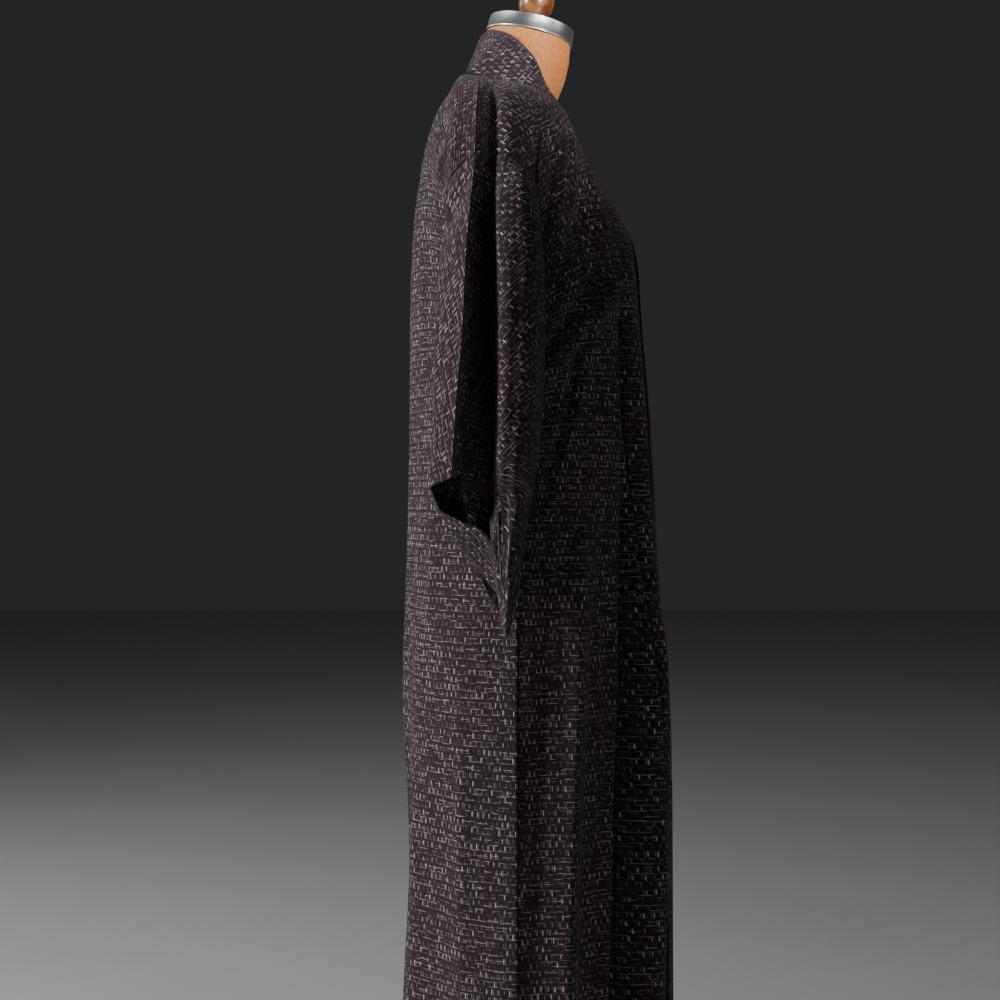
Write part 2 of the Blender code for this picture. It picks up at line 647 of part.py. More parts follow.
# --- Dress form and stand ----------------------------------------------------------------------------------------
def form(name, look, group, columns=32):
    """Hips, waist, bust, shoulders and neck in one smooth body, its neck cut at the cap's tilt."""
    heights = [0.846, 0.862, 0.885, 0.92, 0.96, 1.00, 1.05, 1.10, 1.15, 1.20, 1.25, 1.30, 1.35, 1.39, 1.43, 1.47,
               1.50, 1.53, 1.55, 1.567, 1.58, 1.591, 1.60, 1.608, 1.616, 1.625, 1.637, 1.652, 1.672]
    made = bmesh.new()
    rings = []
    for height in heights:
        at = FORM.row(height)
        middle = (at["front"] + at["back"]) / 2
        depth = (at["back"] - at["front"]) / 2
        ring = []
        for i in range(columns):
            angle = 2 * math.pi * i / columns
            across, forth = math.sin(angle), math.cos(angle)
            power = 2 / at["square"]
            x = at["half_width"] * math.copysign(abs(across) ** power, across)
            y = middle + depth * math.copysign(abs(forth) ** power, forth)
            ring.append(made.verts.new((x, y, height)))
        rings.append(ring)
    top = []
    for i in range(columns):
        angle = 2 * math.pi * i / columns
        flat = Vector((0.0572 * math.sin(angle), 0.0572 * math.cos(angle), -0.0006))
        top.append(made.verts.new(CAP_CENTRE + Matrix.Rotation(CAP_TILT, 3, "X") @ flat))
    rings.append(top)
    for low, high in zip(rings, rings[1:]):
        for i in range(columns):
            j = (i + 1) % columns
            made.faces.new((low[i], low[j], high[j], high[i]))
    made.faces.new(rings[0])
    made.faces.new(rings[-1])
    bmesh.ops.recalc_face_normals(made, faces=made.faces)
    mesh = bpy.data.meshes.new(name)
    made.to_mesh(mesh)
    made.free()
    return add_object(name, mesh, look, group)


def arc(centre_radius, centre_height, radius, start, end, count):
    """Points of a turned profile along an arc, its angles measured from straight outwards, in degrees."""
    angles = [math.radians(start + (end - start) * i / count) for i in range(count + 1)]
    return [(centre_radius + radius * math.cos(a), centre_height + radius * math.sin(a)) for a in angles]


def neck_cap(look, group):
    edge = 0.0015
    profile = [(0.0, CAP_HEIGHT)] + arc(CAP_RADIUS - 0.002 - edge, CAP_HEIGHT - edge, edge, 90, 0, 3)
    profile += [(CAP_RADIUS, 0.0008), (CAP_RADIUS - 0.0008, 0.0), (0.0, 0.0)]
    cap = turned("neck_cap", profile, look, group)
    cap.location = CAP_CENTRE
    cap.rotation_euler = (CAP_TILT, 0.0, 0.0)
    return cap


def finial(look, group):
    """A turned egg on a short stem."""
    widest, low_half, high_half = 0.0240, 0.027, 0.036
    stem = 0.0025
    waist = stem + low_half - 0.0015
    profile = [(widest * math.cos(math.radians(a)), waist + high_half * math.sin(math.radians(a)))
               for a in range(90, 0, -10)]
    profile += [(widest * math.cos(math.radians(a)), waist - low_half * math.sin(math.radians(a)))
                for a in range(0, 71, 10)]
    profile[0] = (0.0, waist + high_half)
    profile += [(0.0085, stem), (0.0080, 0.0), (0.0, 0.0)]
    knob = turned("finial", profile, look, group)
    lift = Matrix.Rotation(CAP_TILT, 3, "X") @ Vector((0.0, 0.0, CAP_HEIGHT + SEAM))
    knob.location = CAP_CENTRE + lift
    knob.rotation_euler = (CAP_TILT, 0.0, 0.0)
    return knob


def pole(look, group):
    foot = HUB_TOP + SEAM
    profile = [(0.0, POLE_TOP - SEAM), (POLE_RADIUS, POLE_TOP - SEAM), (POLE_RADIUS, foot), (0.0, foot)]
    return turned("pole", profile, look, group, 24)


def base(look, group):
    edge = 0.007
    profile = [(0.0, HUB_TOP), (0.024, HUB_TOP), (0.0265, HUB_TOP - 0.0025), (0.030, 0.040), (0.046, 0.031),
               (0.110, 0.027)]
    profile += arc(BASE_RADIUS - edge, BASE_THICKNESS - edge, edge, 80, 0, 4)
    profile += [(BASE_RADIUS, 0.002), (BASE_RADIUS - 0.002, 0.0), (0.0, 0.0)]
    return turned("base", profile, look, group, 48)


def main():
    for old in list(bpy.data.objects):
        bpy.data.objects.remove(old, do_unlink=True)
    group = bpy.data.collections.new("Yukata robe on dress form")
    bpy.context.scene.collection.children.link(group)
    cotton = material("Charcoal cotton", (0.030, 0.024, 0.027), 0.85)
    collar_cotton = material("Collar cotton", (0.027, 0.022, 0.025), 0.85)
    linen = material("Tan linen", (0.60, 0.38, 0.18), 0.65)
    aluminium = material("Brushed aluminium", (0.62, 0.64, 0.66), 0.35, 1.0)
    wood = material("Brown turned wood", (0.26, 0.12, 0.05), 0.40)
    steel = material("Grey steel tube", (0.45, 0.45, 0.46), 0.35, 1.0)
    iron = material("Black cast iron", (0.03, 0.03, 0.03), 0.55, 0.6)

    for side, word in ((RIGHT, "right"), (LEFT, "left")):
        body_panel(side, "body_" + word, cotton, group)
        overlap_panel(side, "overlap_" + word, cotton, group)
        sleeve(side, "sleeve_" + word, cotton, group)
    collar("collar", collar_cotton, group)
    form("form", linen, group)
    neck_cap(aluminium, group)
    finial(wood, group)
    pole(steel, group)
    base(iron, group)


main()
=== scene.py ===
"""Looks for a cotton yukata robe worn open on a limbless dress form.

Metres, +Z up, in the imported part's frame.  Each cloth piece is drawn again as a thin shell with its creases.
"Cloth" coordinates run across the panel and down it in metres, for the weave.
"""

import math

import bmesh
import bpy
from mathutils import Matrix, Vector


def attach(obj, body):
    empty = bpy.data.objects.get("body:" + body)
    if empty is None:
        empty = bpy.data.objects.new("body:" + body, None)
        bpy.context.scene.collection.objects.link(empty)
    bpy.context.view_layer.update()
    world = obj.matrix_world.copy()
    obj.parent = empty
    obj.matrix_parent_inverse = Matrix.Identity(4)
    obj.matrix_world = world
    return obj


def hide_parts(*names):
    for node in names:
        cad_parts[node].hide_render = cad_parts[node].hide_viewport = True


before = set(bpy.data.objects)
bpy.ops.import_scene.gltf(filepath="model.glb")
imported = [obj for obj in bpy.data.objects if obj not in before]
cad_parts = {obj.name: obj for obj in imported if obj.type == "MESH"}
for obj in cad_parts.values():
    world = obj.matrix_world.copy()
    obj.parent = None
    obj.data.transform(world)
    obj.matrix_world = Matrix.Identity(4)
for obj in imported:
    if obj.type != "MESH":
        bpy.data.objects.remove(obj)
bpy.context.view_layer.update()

# --- Driving sizes ---
CLOTH = 0.0015  # cotton wall
BAND = 0.0018  # collar, folded double
SEAM = 0.0004  # clear space between two pieces that are sewn together
FRONT_WIDTH = 0.24  # front panel, side seam to overlap seam
NECK_ROW = 0.048  # the back neckline's distance behind the shoulder line
ARMHOLE = 0.24  # armhole depth, front and back, along the cloth
COLLAR_END = 1.04  # how far down the front the collar runs
HEM = 1.655
PUCKER_WIDTH = 0.016  # how far from a seam its pucker reaches
UNDERLAP = 0.0012  # how far in the right front sits, and how far out the left front sits, where they cross
BACK_SPEED = 0.31  # how squarely the back panels leave the centre back seam
FRONT_SPEED = 0.30

CAP_CENTRE = Vector((0.0, 0.0016, 1.705))
CAP_TILT = math.radians(11.5)
CAP_RADIUS = 0.0595
CAP_HEIGHT = 0.021
NECK_RADIUS = 0.0572  # the form's neck where it meets the cap
NECK_TOP = 1.672
FORM_FOOT = 0.8462
POLE_RADIUS = 0.016
POLE_TOP = 0.846
BASE_RADIUS = 0.19
BASE_THICKNESS = 0.022
HUB_TOP = 0.060

RIGHT, LEFT = -1, 1


class Table:
    """Rows of named columns; the first is the key, and the others are read smoothly between its values."""

    def __init__(self, names, *rows):
        self.names = names.split()
        self.keys = [row[0] for row in rows]
        self.columns = {name: [row[i] for row in rows] for i, name in enumerate(self.names)}

    def slopes(self, values):
        steps = [b - a for a, b in zip(self.keys, self.keys[1:])]
        rises = [(b - a) / step for a, b, step in zip(values, values[1:], steps)]
        middle = [0.0 if a * b <= 0 else 2 * a * b / (a + b) for a, b in zip(rises, rises[1:])]
        return [rises[0], *middle, rises[-1]]

    def at(self, key, name):
        values = self.columns[name]
        key = min(max(key, self.keys[0]), self.keys[-1])
        i = max(k for k in range(len(self.keys) - 1) if k == 0 or self.keys[k] <= key)
        step = self.keys[i + 1] - self.keys[i]
        slopes = self.slopes(values)
        return hermite((key - self.keys[i]) / step, values[i], slopes[i] * step,
                       values[i + 1], slopes[i + 1] * step)

    def row(self, key):
        return {name: self.at(key, name) for name in self.names}


def hermite(u, start, start_slope, end, end_slope):
    return (start * (2 * u**3 - 3 * u**2 + 1) + start_slope * (u**3 - 2 * u**2 + u)
            + end * (3 * u**2 - 2 * u**3) + end_slope * (u**3 - u**2))


def smoothstep(low, high, value):
    u = min(max((value - low) / (high - low), 0.0), 1.0)
    return u * u * (3 - 2 * u)


# --- The robe's sections ---
# "down" is measured along the cloth from the shoulder line.  Centre back: height, how far behind the form's
# axis, and how far the neckline is raised.
BACK_LINE = Table(
    "down z y lift",
    (0.000, 1.630, 0.047, 0.000),
    (0.048, 1.630, 0.088, 0.025),
    (0.098, 1.608, 0.1080, 0.005),
    (0.138, 1.578, 0.124, 0.000),
    (0.195, 1.526, 0.145, 0.000),
    (0.278, 1.446, 0.157, 0.000),
    (0.374, 1.350, 0.161, 0.000),
    (0.644, 1.080, 0.164, 0.000),
    (0.914, 0.810, 0.170, 0.000),
    (1.124, 0.600, 0.163, 0.000),
    (1.324, 0.400, 0.172, 0.000),
    (1.655, 0.070, 0.180, 0.000))
# Centre front, as a line that crosses the open neck.
FRONT_LINE = Table(
    "down z y",
    (0.000, 1.630, 0.047),
    (0.050, 1.621, 0.001),
    (0.100, 1.598, -0.041),
    (0.160, 1.549, -0.066),
    (0.210, 1.505, -0.091),
    (0.260, 1.463, -0.119),
    (0.300, 1.430, -0.137),
    (0.340, 1.392, -0.144),
    (0.410, 1.324, -0.149),
    (0.545, 1.188, -0.162),
    (0.790, 0.944, -0.175),
    (0.860, 0.876, -0.184),
    (1.000, 0.741, -0.190),
    (1.330, 0.400, -0.192),
    (1.655, 0.070, -0.195))
# The panels' outer edges: the armhole, and the side seam below it.  "lean" says how far the panel still moves
# outwards as it reaches the seam, "turn_back" and "turn_front" how fast it runs forwards there.
SIDE_LINE = Table(
    "down x z y_back y_front lean turn_back turn_front",
    (0.00, 0.232, 1.505, 0.048, 0.048, 0.05, 0.00, 0.00),
    (0.04, 0.233, 1.493, 0.085, 0.010, 0.05, 0.02, -0.03),
    (0.08, 0.233, 1.459, 0.104, -0.005, 0.04, 0.00, -0.06),
    (0.12, 0.232, 1.420, 0.104, -0.008, 0.03, -0.08, -0.10),
    (0.18, 0.228, 1.366, 0.078, 0.004, 0.03, -0.18, -0.20),
    (0.24, 0.220, 1.318, 0.030, 0.030, 0.04, -0.26, -0.28),
    (0.41, 0.218, 1.180, 0.021, 0.021, 0.06, -0.29, -0.28),
    (0.68, 0.222, 0.940, 0.019, 0.019, 0.07, -0.30, -0.29),
    (1.00, 0.228, 0.650, 0.019, 0.019, 0.07, -0.30, -0.29),
    (1.33, 0.233, 0.350, 0.018, 0.018, 0.07, -0.30, -0.29),
    (1.655, 0.238, 0.055, 0.016, 0.016, 0.07, -0.30, -0.29))
# How far each collar edge stays from the centre front.  Below zero it has crossed over.
COLLAR_LINE = Table(
    "down seam_x free_x",
    (0.00, 0.085, 0.0580),
    (0.05, 0.100, 0.0585),
    (0.10, 0.102, 0.0490),
    (0.16, 0.095, 0.0415),
    (0.21, 0.083, 0.0290),
    (0.26, 0.069, 0.0150),
    (0.30, 0.055, 0.0010),
    (0.36, 0.035, -0.0200),
    (0.46, 0.015, -0.0400),
    (0.60, 0.005, -0.0500),
    (1.00, 0.000, -0.0550),
    (1.655, -0.005, -0.0600))
# The standing part of the collar: its free edge round the neck, by distance from the nape along the seam.
NECK_EDGE = Table(
    "along x y z",
    (0.000, 0.0000, 0.0650, 1.712),
    (0.045, 0.0400, 0.0530, 1.708),
    (0.095, 0.0600, 0.0290, 1.697),
    (0.140, 0.0650, 0.0050, 1.676),
    (0.200, 0.0560, -0.0300, 1.631))

# Large folds.  "out" is positive for a ridge and negative for a trough.  A fold runs between two distances
# down, at a distance from the side seam that changes from its top to its foot.
FOLD_NAMES = "top foot seam_top seam_foot width_top width_foot out"


def named_rows(names, *rows):
    return [dict(zip(names.split(), row)) for row in rows]


BACK_FOLDS = named_rows(
    FOLD_NAMES,
    (0.42, 1.70, 0.255, 0.262, 0.022, 0.026, -0.007),
    (0.95, 1.70, 0.205, 0.185, 0.024, 0.036, 0.010),
    (0.90, 1.70, 0.130, 0.120, 0.026, 0.034, -0.006),
    (0.12, 0.34, 0.150, 0.085, 0.022, 0.030, -0.005))
FRONT_FOLDS = named_rows(
    FOLD_NAMES,
    (0.30, 1.70, 0.254, 0.134, 0.017, 0.020, -0.020),
    (0.34, 1.70, 0.300, 0.172, 0.018, 0.024, 0.009),
    (0.60, 1.75, 0.118, 0.024, 0.024, 0.024, 0.009),
    (0.55, 1.75, 0.168, 0.078, 0.026, 0.026, -0.007),
    (0.10, 0.36, 0.140, 0.205, 0.016, 0.022, -0.007),
    (0.16, 0.42, 0.090, 0.150, 0.020, 0.026, 0.006))

# The smaller creases, in the same columns.
BACK_CREASES = named_rows(
    FOLD_NAMES,
    (0.60, 1.70, 0.300, 0.308, 0.006, 0.010, 0.0035),
    (0.70, 1.70, 0.276, 0.282, 0.007, 0.010, -0.0030),
    (0.22, 0.50, 0.240, 0.195, 0.010, 0.014, 0.0030),
    (0.26, 0.52, 0.262, 0.226, 0.008, 0.012, -0.0030),
    (0.05, 0.28, 0.060, 0.105, 0.010, 0.016, 0.0035),
    (0.06, 0.24, 0.088, 0.140, 0.009, 0.014, -0.0030),
    (0.80, 1.50, 0.095, 0.080, 0.010, 0.014, 0.0025),
    (0.44, 0.82, 0.150, 0.168, 0.009, 0.012, 0.0022))
FRONT_CREASES = named_rows(
    FOLD_NAMES,
    (0.06, 0.24, 0.118, 0.022, 0.011, 0.011, 0.007),
    (0.08, 0.28, 0.152, 0.046, 0.010, 0.010, -0.010),
    (0.10, 0.26, 0.190, 0.120, 0.010, 0.012, 0.006),
    (0.19, 0.38, 0.203, 0.190, 0.006, 0.008, -0.0065),
    (0.19, 0.36, 0.183, 0.172, 0.005, 0.007, -0.0050),
    (0.18, 0.38, 0.193, 0.182, 0.005, 0.006, 0.0030),
    (0.17, 0.33, 0.222, 0.216, 0.006, 0.008, 0.0040),
    (0.290, 0.400, 0.374, -0.017, 0.045, 0.045, -0.0100),
    (0.325, 0.440, 0.374, -0.017, 0.050, 0.050, 0.0070),
    (0.34, 0.58, 0.200, 0.060, 0.014, 0.014, 0.0060),
    (0.38, 0.60, 0.150, 0.040, 0.012, 0.014, -0.0060),
    (0.50, 1.95, 0.2445, 0.110, 0.009, 0.012, -0.014),
    (0.45, 2.00, 0.215, 0.075, 0.034, 0.036, -0.011),
    (0.45, 2.00, 0.296, 0.166, 0.022, 0.026, 0.015),
    (0.55, 1.95, 0.218, 0.080, 0.009, 0.012, 0.0060),
    (0.60, 1.20, 0.050, 0.030, 0.010, 0.012, -0.0030),
    (0.50, 1.60, 0.300, 0.240, 0.008, 0.010, -0.0035),
    (0.62, 1.90, 0.112, 0.022, 0.010, 0.012, 0.0060),
    (0.60, 1.95, 0.145, 0.050, 0.012, 0.014, -0.0060))

# Folds over the end of the shoulder: how far in front of the shoulder line they lie at the armhole and at
# their tip, how far they reach in from the armhole, and how deep they are.
SHOULDER_FOLDS = named_rows(
    "edge tip reach width out",
    (-0.022, -0.020, 0.150, 0.0090, 0.010),
    (-0.005, -0.007, 0.150, 0.0085, -0.022),
    (0.014, 0.010, 0.140, 0.0120, 0.009),
    (0.066, 0.058, 0.130, 0.0060, -0.008))

# The hanging sleeve, top to bottom.  "z" is the height of its outer face, "z_seam" of its inner seam.  The
# others place the inner tuck, back edge, sharp ridge, groove, front strip's near edge, front ridge and front.
SLEEVE_NAMES = ("step z z_seam tuck_y tuck_out back_y ridge_y ridge_out groove_y groove_out lap_y lap_out "
                "crest_y crest_out front_y wall_out")
SLEEVE = Table(
    SLEEVE_NAMES,
    (0.00, 1.492, 1.318, 0.070, 0.234, 0.106, 0.078, 0.234, 0.052, 0.234, 0.036,
     0.234, 0.016, 0.234, -0.008, 0.234),
    (0.06, 1.468, 1.300, 0.078, 0.242, 0.110, 0.074, 0.258, 0.051, 0.232, 0.041,
     0.250, 0.010, 0.256, -0.010, 0.236),
    (0.12, 1.438, 1.280, 0.082, 0.254, 0.114, 0.077, 0.275, 0.051, 0.238, 0.042,
     0.266, 0.006, 0.264, -0.011, 0.238),
    (0.22, 1.370, 1.240, 0.082, 0.272, 0.117, 0.082, 0.299, 0.050, 0.243, 0.041,
     0.292, 0.003, 0.286, -0.012, 0.239),
    (0.36, 1.280, 1.190, 0.082, 0.284, 0.120, 0.086, 0.314, 0.051, 0.243, 0.040,
     0.305, 0.003, 0.297, -0.012, 0.239),
    (0.50, 1.195, 1.140, 0.082, 0.284, 0.122, 0.094, 0.317, 0.052, 0.244, 0.040,
     0.309, 0.006, 0.301, -0.008, 0.240),
    (0.62, 1.130, 1.095, 0.080, 0.272, 0.125, 0.098, 0.313, 0.053, 0.245, 0.042,
     0.307, 0.011, 0.300, -0.002, 0.241),
    (0.72, 1.070, 1.060, 0.076, 0.256, 0.116, 0.086, 0.280, 0.052, 0.284, 0.038,
     0.296, 0.018, 0.302, 0.005, 0.242),
    (0.82, 1.020, 1.020, 0.070, 0.250, 0.100, 0.076, 0.266, 0.048, 0.277, 0.037,
     0.287, 0.025, 0.293, 0.013, 0.243),
    (0.91, 0.985, 0.985, 0.062, 0.245, 0.084, 0.066, 0.257, 0.045, 0.268, 0.036,
     0.274, 0.028, 0.279, 0.017, 0.243),
    (1.00, 0.950, 0.950, 0.052, 0.244, 0.062, 0.053, 0.250, 0.042, 0.252, 0.035,
     0.254, 0.028, 0.253, 0.019, 0.243))
# How far in front of the shoulder line the sleeve's top edge lies, by share of the way round.
TOP_EDGE = Table(
    "around across",
    (0.000, -0.240),
    (0.140, -0.165),
    (0.318, -0.080),
    (0.455, -0.022),
    (0.591, -0.004),
    (0.682, 0.014),
    (0.773, 0.040),
    (0.909, 0.130),
    (1.000, 0.240))
MOUTH_STEP = 0.62  # the wrist opening's upper lip is on this row, between the back edge and the groove
# The wrist opening's lips, by share of the way from the back edge to the groove.
LIPS = Table(
    "share upper lower",
    (0.00, 1.092, 1.086),
    (0.45, 1.105, 1.068),
    (0.75, 1.112, 1.060),
    (1.00, 1.092, 1.046))
# The sleeve's bottom edge, by share of the way round from the inner seam past the back.
BOTTOM_EDGE = Table(
    "share z",
    (0.00, 0.940),
    (0.14, 0.958),
    (0.30, 0.990),
    (0.45, 0.976),
    (0.56, 0.966),
    (0.61, 0.944),
    (0.70, 0.911),
    (0.82, 0.935),
    (1.00, 0.940))

# The dress form, hips to neck: half width, front and back, and how square the section is.
FORM = Table(
    "z half_width front back square",
    (0.846, 0.120, -0.080, 0.085, 2.1),
    (0.862, 0.150, -0.102, 0.112, 2.1),
    (0.910, 0.168, -0.112, 0.128, 2.1),
    (0.990, 0.170, -0.112, 0.132, 2.1),
    (1.080, 0.148, -0.100, 0.112, 2.1),
    (1.180, 0.120, -0.086, 0.090, 2.1),
    (1.270, 0.132, -0.100, 0.105, 2.2),
    (1.350, 0.152, -0.126, 0.125, 2.3),
    (1.420, 0.160, -0.118, 0.138, 2.4),
    (1.480, 0.172, -0.090, 0.137, 2.4),
    (1.530, 0.182, -0.066, 0.124, 2.3),
    (1.565, 0.176, -0.050, 0.104, 2.2),
    (1.585, 0.150, -0.038, 0.092, 2.0),
    (1.600, 0.108, -0.034, 0.082, 2.0),
    (1.615, 0.068, -0.035, 0.072, 2.0),
    (1.645, 0.057, -0.0460, 0.064, 2.0),
    (1.672, 0.054, -0.0525, 0.058, 2.0))


# --- Body panels ---
ROW_SAMPLES = 48
row_cache = {}


def bare_row(face, down):
    """The panel's unfolded section at one distance down: points from the side edge past the centre, with x
    positive on the panel's own side, and the length along the cloth at each."""
    key = (face, down)
    if key in row_cache:
        return row_cache[key]
    side = SIDE_LINE.row(down)
    if face == "back":
        centre = BACK_LINE.row(down)
        speed, turn, edge_y = BACK_SPEED, side["turn_back"], side["y_back"]
    else:
        centre = FRONT_LINE.row(down)
        centre["lift"] = 0.0
        speed, turn, edge_y = FRONT_SPEED, side["turn_front"], side["y_front"]
        turn = -turn
    points = []
    for i in range(ROW_SAMPLES + 1):
        u = i / ROW_SAMPLES
        x = hermite(u, side["x"], -side["lean"], 0.0, -speed)
        y = hermite(u, edge_y, -turn, centre["y"], 0.0)
        z = centre["z"] + (side["z"] - centre["z"]) * (1 - u) ** 3 + centre["lift"] * u**3
        points.append(Vector((x, y, z)))
    past = [Vector((-p.x, p.y, p.z)) for p in reversed(points[:-1])]
    points += past[: ROW_SAMPLES // 2]
    lengths = [0.0]
    for a, b in zip(points, points[1:]):
        lengths.append(lengths[-1] + (b - a).length)
    row_cache[key] = points, lengths
    return row_cache[key]


def to_centre(face, down):
    return bare_row(face, down)[1][ROW_SAMPLES]


def on_row(face, down, length):
    """The point, the outward direction in plan and the one off the shoulder, at a length along the row."""
    points, lengths = bare_row(face, down)
    i = max(k for k in range(len(points) - 1) if k == 0 or lengths[k] <= length)
    share = (length - lengths[i]) / (lengths[i + 1] - lengths[i])
    along = points[i + 1] - points[i]
    flat = Vector((along.x, along.y))
    out = Vector((flat.y, -flat.x)).normalized()
    if out.dot(Vector((points[i].x, points[i].y))) < 0:
        out = -out
    return points[i] + along * share, out, Vector((along.z, 0.0, -along.x)).normalized()


def length_at_x(face, down, x):
    """The length along the row at which it is x from the centre, x below zero being past it."""
    points, lengths = bare_row(face, down)
    for i in range(len(points) - 1):
        if points[i + 1].x <= x < points[i].x:
            share = (points[i].x - x) / (points[i].x - points[i + 1].x)
            return lengths[i] + share * (lengths[i + 1] - lengths[i])
    return lengths[-1]


def swell(distance, width):
    """1 at a fold's crest, dying away on both sides."""
    return math.exp(-((distance / width) ** 2))


def fold_depth(folds, down, from_seam, short=False):
    """All folds together at one place.  Short creases fade over a quarter of their own length."""
    total = 0.0
    for fold in folds:
        share = (down - fold["top"]) / (fold["foot"] - fold["top"])
        if 0 < share < 1:
            place = fold["seam_top"] + (fold["seam_foot"] - fold["seam_top"]) * share
            width = fold["width_top"] + (fold["width_foot"] - fold["width_top"]) * share
            if short:
                ends = smoothstep(0, 0.25, share) * smoothstep(0, 0.25, 1 - share)
            else:
                ends = smoothstep(0, 0.16, down - fold["top"]) * smoothstep(0, 0.10, fold["foot"] - down)
            total += fold["out"] * ends * swell(from_seam - place, width)
    return total


def unevenness(side, face, down, length):
    """The slow ripple of hanging cotton, different on each panel, and the pucker along its seams."""
    turn = (0.0 if face == "back" else 1.7) + (0.0 if side < 0 else 2.9)
    ripple = math.sin(41 * length + 3.1 * down + turn) + 0.7 * math.sin(67 * length - 5.3 * down + 2.2 * turn)
    ripple += 0.5 * math.sin(23 * down + 19 * length + 1.3 * turn)
    grow = smoothstep(0.15, 0.6, down)
    seam_at = FRONT_WIDTH if face == "front" else to_centre("back", down)
    near = swell(length, PUCKER_WIDTH) * smoothstep(ARMHOLE, 0.3, down)
    near += swell(length - seam_at, PUCKER_WIDTH) * smoothstep(0.2, 0.3, down)
    pucker = math.sin(190 * down + 2.0 * math.sin(31 * down + turn) + 4 * turn)
    return 0.0009 * ripple * grow + 0.0006 * pucker * near


def shoulder_depth(across, length):
    """The sleeve's ridges and groove over the shoulder; across is in front of the shoulder line."""
    total = 0.0
    for fold in SHOULDER_FOLDS:
        share = length / fold["reach"]
        if share < 1:
            place = fold["edge"] + (fold["tip"] - fold["edge"]) * share
            total += fold["out"] * smoothstep(1.0, 0.45, share) * swell(across - place, fold["width"])
    return total


def panel_point(side, face, down, length):
    """A point of the robe's body at a distance down and a length from its side edge, folds included."""
    point, out, off = on_row(face, down, length)
    point = point + off * shoulder_depth(down if face == "front" else -down, length)
    if face == "back":
        calm = smoothstep(0.0, 0.03, point.x)
        shift = (fold_depth(BACK_FOLDS, down, length) + fold_depth(BACK_CREASES, down, length, True)) * calm
    else:
        calm = smoothstep(0.055, 0.095, point.x)
        shift = (fold_depth(FRONT_FOLDS, down, length) + fold_depth(FRONT_CREASES, down, length, True)) * calm
        crossing = 1 - smoothstep(0.045, 0.105, point.x)
        shift += side * UNDERLAP * crossing * smoothstep(0.10, 0.24, down)
    shift += unevenness(side, face, down, length) * calm
    return Vector((side * (point.x + out.x * shift), point.y + out.y * shift, point.z))


def collar_seam(down):
    return length_at_x("front", down, COLLAR_LINE.at(down, "seam_x"))


def collar_free(down):
    return length_at_x("front", down, COLLAR_LINE.at(down, "free_x"))


def front_edge(down):
    """Where the front panel ends: at the collar seam, and below its tip at the overlap panel's seam."""
    return min(collar_seam(down), FRONT_WIDTH)


def neck_share():
    """The neck point's place on the shoulder line, as a share of the way from the side edge to the centre."""
    return collar_seam(0.0) / to_centre("front", 0.0)


# --- Meshes ---
def in_scene(name, data):
    made = bpy.data.objects.new(name, data)
    bpy.context.scene.collection.objects.link(made)
    return made


def add_object(name, mesh, look, smooth_angle=50):
    made = in_scene(name, mesh)
    mesh.materials.append(look)
    mesh.shade_smooth()
    mesh.set_sharp_from_angle(angle=math.radians(smooth_angle))
    return made


def finished(made, name):
    mesh = bpy.data.meshes.new(name)
    made.to_mesh(mesh)
    made.free()
    return mesh


def mesh_from(name, points, faces, cloth=None):
    """A mesh from named points and the faces between them, with cloth coordinates where they are given."""
    made = bmesh.new()
    used = {key for face in faces for key in face}
    verts = {key: made.verts.new(points[key]) for key in points if key in used}
    keys = {vert: key for key, vert in verts.items()}
    for face in faces:
        made.faces.new([verts[key] for key in face])
    bmesh.ops.recalc_face_normals(made, faces=made.faces)
    if cloth:
        layer = made.loops.layers.uv.new("Cloth")
        for face in made.faces:
            for loop in face.loops:
                loop[layer].uv = cloth[keys[loop.vert]]
    return finished(made, name)


def cloth_sheet(name, points, faces, cloth, look):
    piece = add_object(name, mesh_from(name, points, faces, cloth), look, 70)
    wall_maker = piece.modifiers.new("Cloth wall", "SOLIDIFY")
    wall_maker.thickness = CLOTH * 0.8
    wall_maker.offset = 0.0
    return piece


CORNERS = ((0, 0), (1, 0), (1, 1), (0, 1))  # of one face, in columns and rows


def grid_faces(columns, rows, skip=lambda column, row: False):
    return [[(i + k, j + m) for k, m in CORNERS]
            for j in range(rows) for i in range(columns) if not skip(i, j)]


def turned(name, profile, look, segments=96):
    """A turned piece: a profile of (radius, height) from its top to its bottom, spun round the Z axis."""
    made = bmesh.new()
    rings = [made.verts.new((radius, 0, height)) for radius, height in profile]
    for a, b in zip(rings, rings[1:]):
        made.edges.new((a, b))
    mesh = finished(made, name)
    piece = add_object(name, mesh, look, 40)
    spin = piece.modifiers.new("Turned", "SCREW")
    spin.steps = segments
    spin.render_steps = segments
    spin.use_merge_vertices = True
    spin.merge_threshold = 0.00002
    return piece


def placed(piece, node):
    """The piece stands for a node of the frame: the node is hidden, and the piece hangs from the root body."""
    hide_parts(node)
    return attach(piece, "root")


# --- Finishes ---
def arithmetic(operation, swapped=False):
    """A method for one operator; swapped where the wire is on the operator's right."""
    if swapped:
        return lambda self, other: self.math(operation, other, self)
    return lambda self, other: self.math(operation, self, other)


